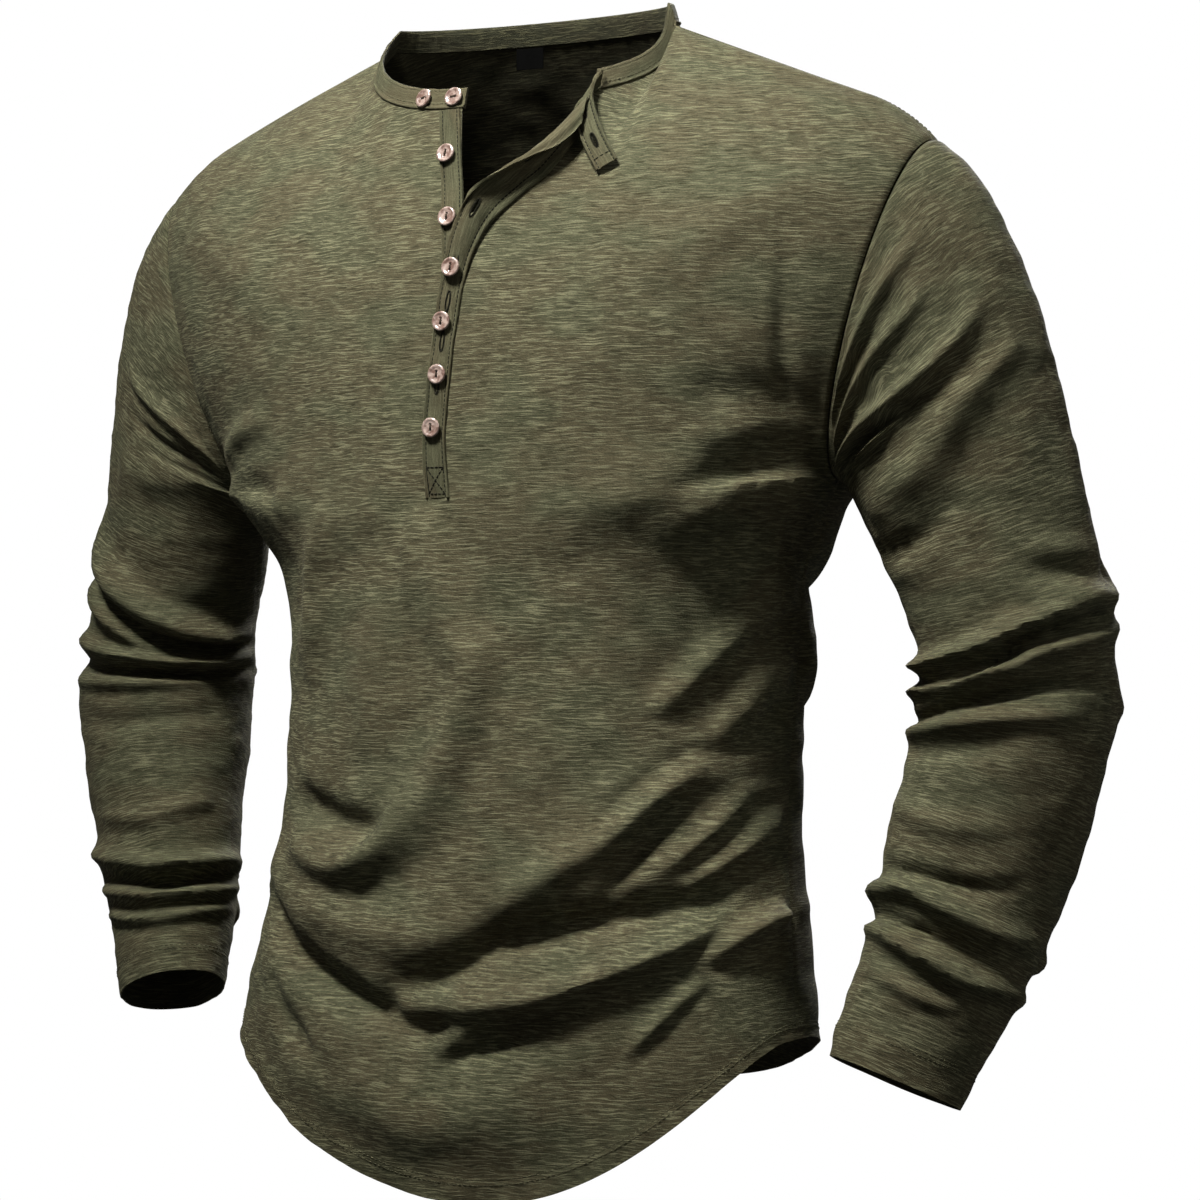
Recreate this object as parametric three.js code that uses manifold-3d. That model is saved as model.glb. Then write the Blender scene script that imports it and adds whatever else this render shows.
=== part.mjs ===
// Long-sleeve henley shirt of slub jersey, filled out as if worn, with no wearer.
// Units are millimetres. +Z is up, the front faces -Y and +X is the wearer's left.
// The origin is the middle of the neck opening, level with the high points of the shoulders.
// Each piece is a wall: a grid of outer points, the same grid moved in by the cloth's
// thickness, and a rim that joins the two.

import * as THREE from "three";
import { mergeVertices } from "three/addons/utils/BufferGeometryUtils.js";
import Module from "manifold-3d";

const wasm = await Module();
wasm.setup();

// Cloth, seams and layers
const CLOTH = 1.5;
const STRIP = 1.1;
const SEAM = 0.3;
const LAYER = 0.4;

// Neck opening: an oval, lowest at the centre front
const NECK_HALF_WIDTH = 90;
const NECK_FRONT_DEPTH = 79;
const NECK_BACK_DEPTH = 48;
const NECK_FRONT_DROP = 50;
const NECK_BACK_RISE = 5;
const NECK_DRAWN_OPEN = 0.4;
const BAND_HEIGHT = 12.5;
const BAND_LEAN = 0.3;
const BAND_THICK = 1.8;
const BAND_END_BUTTONS = 2.6;
const BAND_END_OPEN = 52;

// Shoulders and armholes
const SHOULDER_HALF = 240;
const SHOULDER_SLOPE = 0.4;
const SHOULDER_ROUND_FROM = 205;
const SHOULDER_ROUND = 12;
const SHOULDER_SEAM_FORWARD = 6;
const ARMHOLE = { midX: 213, swingX: 27, midY: 8, front: 46, back: 52, midZ: -161.5, half: 88.5 };
const ARMHOLE_TURN = 58;

// How square a torso section is, and where on the panels the armhole and the shoulders start
const SQUARENESS = 0.8;
const DROP_POWER = 2.2;
const HEM_SKEW = 0.12;
const HEM_SKEW_UP = 0.2;
const ARMPIT_UP = 0.62;
const YOKE_UP = 0.72;
const NECK_COLUMN = 0.36;
const NECK_BLUR = 0.16;
const LEVEL_FADE = 3;
const HEIGHT_FADE = 1.5;

// Sections of the torso from the hem up: the side edge is shared by the front and the back
const SIDE_EDGE = [
  { name: "hem", up: 0, x: 168.5, y: -10, z: -547 },
  { name: "skirt", up: 0.12, x: 161.5, y: 0, z: -502 },
  { name: "flank", up: 0.27, x: 151.5, y: 15, z: -446 },
  { name: "waist", up: 0.4, x: 149, y: 24, z: -392 },
  { name: "ribs", up: 0.51, x: 150, y: 32, z: -338 },
  { name: "side", up: 0.575, x: 157, y: 27, z: -290 },
  { name: "armpit", up: 0.62, x: 186, y: 8, z: -250 },
];
const FRONT_MIDDLE = [
  { name: "hem", up: 0, y: -112, z: -630 },
  { name: "skirt", up: 0.12, y: -114, z: -560 },
  { name: "flank", up: 0.27, y: -109, z: -475 },
  { name: "waist", up: 0.4, y: -104, z: -400 },
  { name: "ribs", up: 0.51, y: -104, z: -335 },
  { name: "armpit", up: 0.62, y: -106, z: -270 },
  { name: "chest", up: 0.76, y: -106, z: -190 },
  { name: "collarbone", up: 0.88, y: -98, z: -118 },
  { name: "neck", up: 1, y: -79, z: -50 },
];
const BACK_MIDDLE = [
  { name: "hem", up: 0, y: 106, z: -582 },
  { name: "skirt", up: 0.12, y: 107, z: -530 },
  { name: "flank", up: 0.27, y: 104, z: -470 },
  { name: "waist", up: 0.4, y: 101, z: -398 },
  { name: "ribs", up: 0.51, y: 108, z: -335 },
  { name: "armpit", up: 0.62, y: 116, z: -268 },
  { name: "blades", up: 0.76, y: 118, z: -182 },
  { name: "yoke", up: 0.88, y: 98, z: -80 },
  { name: "neck", up: 1, y: 48, z: 5 },
];

// Sections of a sleeve from under the shoulder to the cuff. wide is turned to the outer back
// by SLEEVE_TWIST degrees. riseOut and riseBack tilt the section.
const SLEEVE_TWIST = 30;
const SLEEVE_CAP = 0.3;
const LEFT_REACH = 10;
const RIGHT_REACH = -15;
const REACH_IN = 0.3;
const CAP_PULL = 0.85;
const CAP_LEAVES_ARMPIT = { x: 0.25, y: 0.08, z: -0.96 };
const CAP_LEAVES_SHOULDER = { x: 0.88, y: 0.08, z: -0.5 };
const SLEEVE = [
  { name: "biceps", x: 243, y: 21, z: -222, wide: 55, narrow: 48, riseOut: 0.6, riseBack: 0.05 },
  { name: "upper", x: 259, y: 32, z: -280, wide: 53.5, narrow: 47.5, riseOut: 0.28, riseBack: 0.12 },
  { name: "over elbow", x: 271.5, y: 37, z: -330, wide: 50.5, narrow: 49.5, riseOut: 0.15, riseBack: 0.08 },
  { name: "elbow", x: 275, y: 36, z: -368, wide: 53, narrow: 52, riseOut: 0, riseBack: -0.05 },
  { name: "below elbow", x: 269, y: 28, z: -410, wide: 50, narrow: 49, riseOut: -0.15, riseBack: -0.2 },
  { name: "forearm", x: 260.5, y: 19, z: -450, wide: 47, narrow: 43, riseOut: -0.25, riseBack: -0.27 },
  { name: "wrist", x: 250, y: 9, z: -492, wide: 41.5, narrow: 39, riseOut: -0.27, riseBack: -0.3 },
  { name: "cuff top", x: 239, y: -4, z: -526, wide: 37.5, narrow: 34, riseOut: -0.28, riseBack: -0.32 },
  { name: "cuff edge", x: 230, y: -14, z: -556, wide: 34, narrow: 29.5, riseOut: -0.3, riseBack: -0.33 },
];

// The largest folds of the front and the back. Each runs from (x0, z0) to (x1, z1), bows
// sideways, and stands proud by high, or sinks by it where high is negative.
const FRONT_FOLDS = [
  { name: "long belly ridge", x0: 2, z0: -270, x1: 2, z1: -425, bow: 18, wide: 15, high: 5 },
  { name: "foot of the belly ridge", x0: 8, z0: -405, x1: -112, z1: -444, bow: -16, wide: 14, high: 8 },
  { name: "hollow over the foot", x0: -15, z0: -412, x1: -120, z1: -418, bow: -8, wide: 13, high: -5 },
  { name: "far flank ridge", x0: -70, z0: -262, x1: -98, z1: -365, bow: -6, wide: 12, high: 4 },
  { name: "slanting flank ridge", x0: 140, z0: -388, x1: 30, z1: -482, bow: -5, wide: 12, high: 6 },
  { name: "upper flank crease", x0: 142, z0: -376, x1: 70, z1: -452, bow: 4, wide: 9, high: -4 },
  { name: "lower flank crease", x0: 140, z0: -408, x1: 84, z1: -478, bow: 3, wide: 9, high: -4 },
  { name: "near side ridge", x0: 160, z0: -292, x1: 108, z1: -382, bow: 4, wide: 10, high: 4 },
  { name: "near side crease", x0: 160, z0: -322, x1: 130, z1: -398, bow: 4, wide: 9, high: -3.5 },
  { name: "swag shadow", x0: -138, z0: -478, x1: 32, z1: -537, bow: -14, wide: 12, high: -8 },
  { name: "long hollow", x0: -40, z0: -530, x1: 158, z1: -450, bow: 10, wide: 13, high: -8 },
  { name: "ridge under the hollow", x0: -30, z0: -540, x1: 160, z1: -468, bow: -16, wide: 11, high: 9 },
  { name: "sharp hem crease", x0: 4, z0: -562, x1: 164, z1: -456, bow: -10, wide: 8, high: -5 },
  { name: "hem swell", x0: -90, z0: -560, x1: 90, z1: -580, bow: -12, wide: 26, high: 5 },
];
const BACK_FOLDS = [
  { name: "waist hollow", x0: -130, z0: -380, x1: 120, z1: -400, bow: -18, wide: 18, high: -6 },
  { name: "waist roll", x0: -120, z0: -420, x1: 140, z1: -430, bow: -22, wide: 17, high: 7 },
  { name: "seat hollow", x0: -140, z0: -462, x1: 110, z1: -478, bow: -26, wide: 15, high: -7 },
  { name: "seat roll", x0: -110, z0: -505, x1: 150, z1: -498, bow: -24, wide: 14, high: 6 },
  { name: "left blade drag", x0: 165, z0: -262, x1: 70, z1: -330, bow: 8, wide: 13, high: 4 },
  { name: "right blade drag", x0: -165, z0: -258, x1: -80, z1: -320, bow: -8, wide: 13, high: 4 },
];

// The largest folds of the sleeves, on the unrolled sleeve: turn is degrees from the outer
// side towards the front, down is the share of the sleeve's length from shoulder to cuff.
const SLEEVE_FOLDS = [
  { name: "armpit fan high", turn0: 150, down0: 0.16, turn1: 60, down1: 0.1, wide: 0.022, high: 4 },
  { name: "armpit fan middle", turn0: 165, down0: 0.25, turn1: 50, down1: 0.2, wide: 0.024, high: 4 },
  { name: "armpit fan low", turn0: 170, down0: 0.34, turn1: 40, down1: 0.27, wide: 0.024, high: 4 },
  { name: "elbow ridge", turn0: 190, down0: 0.5, turn1: 10, down1: 0.47, wide: 0.018, high: 7 },
  { name: "elbow crease", turn0: 180, down0: 0.535, turn1: 20, down1: 0.505, wide: 0.014, high: -4 },
  { name: "under elbow ridge", turn0: 185, down0: 0.565, turn1: 15, down1: 0.54, wide: 0.016, high: 5 },
  { name: "back elbow ridge", turn0: 340, down0: 0.45, turn1: 200, down1: 0.47, wide: 0.02, high: 4 },
  { name: "wrist ridge high", turn0: 200, down0: 0.8, turn1: 30, down1: 0.82, wide: 0.016, high: 5 },
  { name: "wrist ridge low", turn0: 170, down0: 0.85, turn1: 0, down1: 0.885, wide: 0.016, high: 5 },
  { name: "back wrist ridge", turn0: 350, down0: 0.83, turn1: 210, down1: 0.84, wide: 0.016, high: 4 },
];

// The placket. Its under strip shows beside the opening. Its over strip is fastened below the
// opening and rolls outward above: seam edge, crest and free edge are places on the front.
const UNDER_STRIP = [
  { z: -49.5, x: -4.5 },
  { z: -72, x: 0 },
  { z: -90, x: 4 },
  { z: -110, x: 7.5 },
  { z: -135, x: 10.5 },
];
const UNDER_HALF_WIDTH = 6.5;
const UNDER_STEPS = 12;
const OVER_STRIP = [
  { seamX: 11, seamZ: -260, crestX: 3.5, crestZ: -260, freeX: -4, freeZ: -260, lift: 1, freeLift: 1 },
  { seamX: 9.5, seamZ: -228, crestX: 2.5, crestZ: -228, freeX: -4.5, freeZ: -228, lift: 1, freeLift: 1 },
  { seamX: 12.5, seamZ: -195, crestX: 5.5, crestZ: -195, freeX: -1.5, freeZ: -195, lift: 1, freeLift: 1 },
  { seamX: 15.5, seamZ: -167, crestX: 8.5, crestZ: -167, freeX: 1.5, freeZ: -167, lift: 1.2, freeLift: 1.2 },
  { seamX: 20, seamZ: -140, crestX: 12.5, crestZ: -140, freeX: 5.5, freeZ: -140, lift: 2.2, freeLift: 2.2 },
  { seamX: 28, seamZ: -121, crestX: 20, crestZ: -118, freeX: 12, freeZ: -115, lift: 5, freeLift: 5 },
  { seamX: 37, seamZ: -110, crestX: 28, crestZ: -103, freeX: 24, freeZ: -102, lift: 6.5, freeLift: 11 },
  { seamX: 48, seamZ: -99, crestX: 38.5, crestZ: -93, freeX: 38, freeZ: -94, lift: 6.5, freeLift: 12 },
  { seamX: 59, seamZ: -88, crestX: 49.5, crestZ: -82, freeX: 51, freeZ: -86, lift: 6.5, freeLift: 10.5 },
  { seamX: 69, seamZ: -72, crestX: 59.5, crestZ: -67, freeX: 62, freeZ: -79, lift: 6.5, freeLift: 8.5 },
  { seamX: 79, seamZ: -57, crestX: 69, crestZ: -52, freeX: 71, freeZ: -70, lift: 6, freeLift: 7 },
];
const OVER_STEPS = 3;
const OVERLAP = { from: 3.2, run: 0.8, high: 0.9 };
const OPENING = [
  { x: 2.2, z: 10 },
  { x: 3, z: -52 },
  { x: 7.5, z: -80 },
  { x: 13.5, z: -112 },
  { x: 28, z: -104 },
  { x: 48, z: -86 },
  { x: 58, z: -68 },
  { x: 67, z: -48 },
  { x: 71, z: -30 },
];
const TAB = [
  { x: 71, z: -41, lift: 7.1 },
  { x: 76, z: -54, lift: 9.6 },
  { x: 85, z: -69, lift: 8.1 },
  { x: 94, z: -83, lift: 5.1 },
];
const TAB_HALF_WIDTH = 6;
const TAB_STEPS = 9;
const WEDGE = { back: -10, deep: 200 };

// Buttons: where each stands on the front, and on the band by its angle round the neck
const BUTTON_RADIUS = 5;
const BUTTON_THICK = 2.2;
const BUTTON_DISH = 0.5;
const BUTTONS = [
  { name: "button_1", x: -1, z: -76, lift: 0.7 },
  { name: "button_2", x: 5.5, z: -111, lift: 0.65 },
  { name: "button_3", x: 12, z: -139, lift: 3.55 },
  { name: "button_4", x: 7, z: -167, lift: 1.1 },
  { name: "button_5", x: 5.5, z: -195, lift: 0.75 },
  { name: "button_6", x: 2, z: -223, lift: 0.7 },
];
const BAND_BUTTONS = [
  { name: "button_band_1", angle: -15, up: 0.45 },
  { name: "button_band_2", angle: -1.8, up: 0.5 },
];

// Label inside the back neck: its top edge stands on the band, above the seam by rise
const LABEL = { x: -22, rise: 3, off: 4.5, wide: 17, high: 12, thick: 1 };

// How finely each wall is divided
const COLUMNS_NECK = 6;
const COLUMNS_SHOULDER = 8;
const ROWS_LOW = 22;
const ROWS_HIGH = 12;
const SLEEVE_ROWS_CAP = 6;
const SLEEVE_ROWS_ARM = 19;
const BUTTON_SIDES = 14;
const BUTTON_STEP = 1e-3;
const SEARCH_STEPS = 14;
const PANEL_HALF = 230;
const PANEL_TALL = 580;

const RADIANS = Math.PI / 180;
const GREEN = 0x57543c;
const GREEN_DARK = 0x4a4832;
const BLACK = 0x17171a;
const SHELL = 0xb79a86;

const clamp = (v, low, high) => Math.min(high, Math.max(low, v));
const mix = (a, b, f) => a + (b - a) * f;
const point = (x, y, z) => new THREE.Vector3(x, y, z);

// A smooth value between the rows of a table, keyed by one column.
function along(rows, key, at, column) {
  const rising = rows[rows.length - 1][key] > rows[0][key] ? 1 : -1;
  let i = 0;
  while (i < rows.length - 2 && (at - rows[i + 1][key]) * rising > 0) i += 1;
  const [a, b] = [rows[i], rows[i + 1]];
  const before = rows[i - 1] ?? a;
  const after = rows[i + 2] ?? b;
  const span = b[key] - a[key];
  const f = clamp((at - a[key]) / span, 0, 1);
  const slopeA = ((b[column] - before[column]) / (b[key] - before[key])) * span;
  const slopeB = ((after[column] - a[column]) / (after[key] - a[key])) * span;
  const f2 = f * f;
  const f3 = f2 * f;
  return (
    (2 * f3 - 3 * f2 + 1) * a[column] +
    (f3 - 2 * f2 + f) * slopeA +
    (3 * f2 - 2 * f3) * b[column] +
    (f3 - f2) * slopeB
  );
}

// The neck seam at an angle from the centre front towards the wearer's left.
function neck(angle) {
  const x = NECK_HALF_WIDTH * Math.sin(angle * RADIANS);
  const toFront = Math.cos(angle * RADIANS);
  if (toFront < 0) {
    return point(x, -toFront * NECK_BACK_DEPTH, -toFront * NECK_BACK_RISE);
  }
  const power = x > 0 ? NECK_DRAWN_OPEN : 1;
  const y = -toFront * NECK_FRONT_DEPTH;
  return point(x, y, -NECK_FRONT_DROP * Math.max(toFront, 0) ** power);
}

// The shoulder seam, from the neck to the head of the sleeve.
function shoulder(side, share) {
  const start = neck(90 * side);
  const x = mix(NECK_HALF_WIDTH, SHOULDER_HALF, share);
  const rounding = Math.max(0, (x - SHOULDER_ROUND_FROM) / (SHOULDER_HALF - SHOULDER_ROUND_FROM));
  const drop = SHOULDER_SLOPE * (x - NECK_HALF_WIDTH) + SHOULDER_ROUND * rounding ** 2;
  const forward = SHOULDER_SEAM_FORWARD * Math.sin(Math.PI * share);
  const end = ARMHOLE.midY * share;
  const y = end - forward;
  const fall = SHOULDER_SLOPE * (SHOULDER_HALF - NECK_HALF_WIDTH) + SHOULDER_ROUND;
  const stretch = (start.z - (ARMHOLE.midZ + ARMHOLE.half)) / fall;
  return point(side * x, y, start.z - drop * stretch);
}

// The armhole seam: 0 degrees at the shoulder, 90 at the front, 180 at the armpit.
function armhole(side, turn) {
  const c = Math.cos(turn * RADIANS);
  const s = Math.sin(turn * RADIANS);
  const depth = s > 0 ? ARMHOLE.front : ARMHOLE.back;
  const x = ARMHOLE.midX + ARMHOLE.swingX * c;
  return point(side * x, ARMHOLE.midY - depth * s, ARMHOLE.midZ + ARMHOLE.half * c);
}

// How much a fold of a table moves the cloth at a place on its panel.
function foldLift(folds, x, z) {
  let lift = 0;
  for (const fold of folds) {
    const [dx, dz] = [fold.x1 - fold.x0, fold.z1 - fold.z0];
    const length = Math.hypot(dx, dz);
    const share = ((x - fold.x0) * dx + (z - fold.z0) * dz) / length ** 2;
    const aside = ((x - fold.x0) * dz - (z - fold.z0) * dx) / length;
    const centre = fold.bow * 4 * share * (1 - share);
    const over = clamp(Math.max(-share, share - 1) * length, 0, Infinity);
    const fade = Math.sin(Math.PI * clamp(share, 0.04, 0.96)) ** 0.6;
    const near = clamp(share, 0, 1) === share ? aside - centre : Math.hypot(aside, over);
    lift += fold.high * fade * Math.exp(-((near / fold.wide) ** 2));
  }
  return lift;
}

// How far a section has turned sideways and back at a share of its half width, both 0 to 1.
function sectionShares(reach, turn) {
  const round = (angle) => 1 - Math.max(0, Math.cos(angle)) ** SQUARENESS;
  return { sideways: Math.sin(reach * turn) / Math.sin(turn), depth: round(reach * turn) / round(turn) };
}

// A point of the front or back panel before its folds. across runs from -1, the wearer's
// right edge, to 1. up runs from 0 at the hem to 1 at the neck and the shoulders.
function panelBase(panel, across, up) {
  const side = Math.sign(across) || 1;
  const reach = Math.abs(across);
  const middleY = along(panel.middle, "up", up, "y");
  const middleZ = along(panel.middle, "up", up, "z");
  const high = clamp((up - ARMPIT_UP) / (1 - ARMPIT_UP), 0, 1);
  const edge = up <= ARMPIT_UP
    ? point(along(SIDE_EDGE, "up", up, "x"), along(SIDE_EDGE, "up", up, "y"), along(SIDE_EDGE, "up", up, "z"))
    : armhole(1, panel.sign * 180 * (1 - high));
  const settle = clamp(high / 0.35, 0, 1);
  const turn = mix(90, ARMHOLE_TURN, settle * settle * (3 - 2 * settle)) * RADIANS;
  const { sideways, depth } = sectionShares(reach, turn);
  const plain = point(
    side * edge.x * sideways,
    mix(middleY, edge.y, depth),
    mix(middleZ, edge.z, sideways ** DROP_POWER),
  );
  plain.z -= HEM_SKEW * plain.x * (1 - sideways ** 2) * clamp(1 - up / HEM_SKEW_UP, 0, 1);
  if (up <= YOKE_UP) return plain;
  const near = (up - YOKE_UP) / (1 - YOKE_UP);
  const blur = NECK_BLUR * (1 - near);
  const shift = topShift(panel, across)
    .multiplyScalar(2)
    .add(topShift(panel, across - blur))
    .add(topShift(panel, across + blur))
    .divideScalar(4);
  const level = near ** LEVEL_FADE;
  return plain.add(shift.multiply(point(level, level, near ** HEIGHT_FADE)));
}

// How far the neck and shoulder line lies from the plain section at the top of a panel.
function topShift(panel, across) {
  const side = Math.sign(across) || 1;
  const reach = Math.min(Math.abs(across), 1);
  const angle = 90 * (reach / NECK_COLUMN) * side;
  const top = reach <= NECK_COLUMN
    ? neck(panel.sign > 0 ? angle : 180 - angle)
    : shoulder(side, (reach - NECK_COLUMN) / (1 - NECK_COLUMN));
  return top.sub(panelTopPlain(panel, reach, side));
}

// The plain section at the top of a panel, which the neck and shoulder line replaces.
function panelTopPlain(panel, reach, side) {
  const last = panel.middle[panel.middle.length - 1];
  const edge = armhole(1, 0);
  const { sideways, depth } = sectionShares(reach, ARMHOLE_TURN * RADIANS);
  return point(
    side * edge.x * sideways,
    mix(last.y, edge.y, depth),
    mix(last.z, edge.z, sideways ** DROP_POWER),
  );
}

// The direction out of a surface, from two short steps on it.
function outward(surface, s, t, flip) {
  const h = 1e-3;
  const [s0, s1] = [Math.max(s - h, surface.low[0]), Math.min(s + h, surface.high[0])];
  const [t0, t1] = [Math.max(t - h, surface.low[1]), Math.min(t + h, surface.high[1])];
  const acrossStep = surface.at(s1, t).sub(surface.at(s0, t));
  const upStep = surface.at(s, t1).sub(surface.at(s, t0));
  return acrossStep.cross(upStep).normalize().multiplyScalar(flip);
}

function makePanel(sign, middle, folds) {
  const panel = { sign, middle };
  const base = {
    low: [-1, 0],
    high: [1, 1],
    at: (s, t) => panelBase(panel, s, t),
  };
  const at = (s, t) => {
    const p = base.at(s, t);
    const lift = foldLift(folds, p.x, p.z);
    if (Math.abs(lift) < 0.01) return p;
    const calm = clamp((1 - Math.abs(s)) / 0.06, 0, 1);
    return p.addScaledVector(outward(base, s, t, sign), lift * calm);
  };
  return { low: [-1, 0], high: [1, 1], at, sign };
}

const FRONT = makePanel(1, FRONT_MIDDLE, FRONT_FOLDS);
const BACK = makePanel(-1, BACK_MIDDLE, BACK_FOLDS);

// A point that stands off the front at a place (x, z) by a lift, and the front's direction there.
function onFront(x, z, lift) {
  let s = clamp(x / PANEL_HALF, -0.9, 0.9);
  let t = clamp(1 + (z - FRONT_MIDDLE[FRONT_MIDDLE.length - 1].z) / PANEL_TALL, 0, 1);
  for (let i = 0; i < SEARCH_STEPS; i += 1) {
    const p = FRONT.at(s, t);
    const h = 2e-3;
    const ds = FRONT.at(s + h, t).sub(p).divideScalar(h);
    const dt = FRONT.at(s, Math.min(t + h, 1)).sub(FRONT.at(s, Math.min(t + h, 1) - h)).divideScalar(h);
    const det = ds.x * dt.z - ds.z * dt.x;
    s = clamp(s + ((x - p.x) * dt.z - (z - p.z) * dt.x) / det, -0.98, 0.98);
    t = clamp(t + ((z - p.z) * ds.x - (x - p.x) * ds.z) / det, 0, 1);
  }
  const normal = outward(FRONT, s, t, 1);
  return { place: FRONT.at(s, t).addScaledVector(normal, lift), normal };
}

// A section of the sleeve at a share of the arm's length below the cap.
function sleeveRing(share, turn, reach) {
  const at = share * (SLEEVE.length - 1);
  const rows = SLEEVE.map((row, i) => ({ ...row, i }));
  const value = (column) => along(rows, "i", at, column);
  const twisted = (turn + SLEEVE_TWIST) * RADIANS;
  const radius = 1 / Math.hypot(Math.cos(twisted) / value("wide"), Math.sin(twisted) / value("narrow"));
  const out = radius * Math.cos(turn * RADIANS);
  const back = -radius * Math.sin(turn * RADIANS);
  return point(
    value("x") + out - REACH_IN * reach * share * share,
    value("y") + back,
    value("z") + out * value("riseOut") + back * value("riseBack") - reach * share * share,
  );
}

// The sleeve's plain form, as the left one: turn as on the armhole, down from 0 to 1.
function sleeveBase(turn, down, reach) {
  if (down >= SLEEVE_CAP) return sleeveRing((down - SLEEVE_CAP) / (1 - SLEEVE_CAP), turn, reach);
  const start = armhole(1, turn);
  const end = sleeveRing(0, turn, reach);
  const gap = start.distanceTo(end) * CAP_PULL;
  const top = (1 + Math.cos(turn * RADIANS)) / 2;
  const [low, high] = [CAP_LEAVES_ARMPIT, CAP_LEAVES_SHOULDER];
  const leave = point(mix(low.x, high.x, top), mix(low.y, high.y, top), mix(low.z, high.z, top)).normalize();
  const arrive = sleeveRing(0.02, turn, reach).sub(end).normalize();
  const f = down / SLEEVE_CAP;
  const f2 = f * f;
  const f3 = f2 * f;
  return start.multiplyScalar(2 * f3 - 3 * f2 + 1)
    .addScaledVector(leave, (f3 - 2 * f2 + f) * gap)
    .addScaledVector(end, 3 * f2 - 2 * f3)
    .addScaledVector(arrive, (f3 - f2) * gap);
}

function sleeveFoldLift(turn, down) {
  let lift = 0;
  for (const fold of SLEEVE_FOLDS) {
    const span = fold.turn1 - fold.turn0;
    for (const lap of [-360, 0, 360]) {
      const share = (turn + lap - fold.turn0) / span;
      if (share <= 0 || share >= 1) continue;
      const line = mix(fold.down0, fold.down1, share);
      lift += fold.high * Math.sin(Math.PI * share) ** 0.8 * Math.exp(-(((down - line) / fold.wide) ** 2));
    }
  }
  return lift;
}

function makeSleeve(side, reach) {
  const mirror = (p) => point(side * p.x, p.y, p.z);
  const base = { low: [-720, 0], high: [720, 1], at: (s, t) => mirror(sleeveBase(s, t, reach)) };
  const at = (s, t) => {
    const p = base.at(s, t);
    const lift = sleeveFoldLift(s, t) * clamp(t / 0.05, 0, 1);
    if (Math.abs(lift) < 0.01) return p;
    return p.addScaledVector(sleeveOutward(base, s, t, side), lift);
  };
  return { low: base.low, high: base.high, at, side };
}

function sleeveOutward(surface, turn, down, side) {
  const h = 0.5;
  const v = 2e-3;
  const round = surface.at(turn + h, down).sub(surface.at(turn - h, down));
  const [a, b] = [Math.max(down - v, 0), Math.min(down + v, 1)];
  return round.cross(surface.at(turn, b).sub(surface.at(turn, a))).normalize().multiplyScalar(side);
}

// One closed wall from a grid of outer points and a grid of inner points.
function wall(outer, inner, wraps) {
  const rows = outer.length;
  const columns = outer[0].length;
  const positions = [...outer.flat(), ...inner.flat()].flatMap((p) => [p.x, p.y, p.z]);
  const id = (layer, j, i) => layer * rows * columns + j * columns + (i % columns);
  const faces = [];
  const quad = (a, b, c, d) => faces.push(a, b, c, a, c, d);
  const lastColumn = wraps ? columns : columns - 1;
  for (let j = 0; j < rows - 1; j += 1) {
    for (let i = 0; i < lastColumn; i += 1) {
      quad(id(0, j, i), id(0, j, i + 1), id(0, j + 1, i + 1), id(0, j + 1, i));
      quad(id(1, j, i), id(1, j + 1, i), id(1, j + 1, i + 1), id(1, j, i + 1));
    }
  }
  for (let i = 0; i < lastColumn; i += 1) {
    quad(id(0, 0, i + 1), id(0, 0, i), id(1, 0, i), id(1, 0, i + 1));
    quad(id(0, rows - 1, i), id(0, rows - 1, i + 1), id(1, rows - 1, i + 1), id(1, rows - 1, i));
  }
  for (let j = 0; j < rows - 1 && !wraps; j += 1) {
    quad(id(0, j, 0), id(0, j + 1, 0), id(1, j + 1, 0), id(1, j, 0));
    quad(id(0, j + 1, columns - 1), id(0, j, columns - 1), id(1, j, columns - 1), id(1, j + 1, columns - 1));
  }
  const geometry = new THREE.BufferGeometry();
  geometry.setAttribute("position", new THREE.Float32BufferAttribute(positions, 3));
  geometry.setIndex(faces);
  return geometry;
}

// Turns a geometry inside out where its faces point in.
function facingOut(geometry) {
  const p = geometry.attributes.position;
  const index = geometry.index.array;
  const corner = (k) => point(p.getX(index[k]), p.getY(index[k]), p.getZ(index[k]));
  let volume = 0;
  for (let k = 0; k < index.length; k += 3) volume += corner(k).dot(corner(k + 1).cross(corner(k + 2)));
  if (volume < 0) {
    for (let k = 0; k < index.length; k += 3) [index[k + 1], index[k + 2]] = [index[k + 2], index[k + 1]];
  }
  return geometry;
}

function toSolid(geometry) {
  const merged = mergeVertices(geometry);
  const mesh = new wasm.Mesh({
    numProp: 3,
    vertProperties: new Float32Array(merged.attributes.position.array),
    triVerts: new Uint32Array(merged.index.array),
  });
  return new wasm.Manifold(mesh);
}

function fromSolid(solid) {
  const mesh = solid.getMesh();
  const geometry = new THREE.BufferGeometry();
  geometry.setAttribute("position", new THREE.Float32BufferAttribute(mesh.vertProperties, 3));
  geometry.setIndex([...mesh.triVerts]);
  return geometry;
}

// The shares of a panel's width and height at which its wall has points.
function panelColumns() {
  const half = [];
  for (let i = 0; i < COLUMNS_NECK; i += 1) half.push((NECK_COLUMN * i) / COLUMNS_NECK);
  for (let i = 0; i <= COLUMNS_SHOULDER; i += 1) half.push(mix(NECK_COLUMN, 1, i / COLUMNS_SHOULDER));
  return [...half.slice(1).reverse().map((s) => -s), ...half];
}

function panelRows() {
  const rows = [];
  for (let j = 0; j < ROWS_LOW; j += 1) rows.push((ARMPIT_UP * j) / ROWS_LOW);
  for (let j = 0; j <= ROWS_HIGH; j += 1) rows.push(mix(ARMPIT_UP, 1, j / ROWS_HIGH));
  return rows;
}

const SLEEVES = { left: makeSleeve(1, LEFT_REACH), right: makeSleeve(-1, RIGHT_REACH) };

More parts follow.
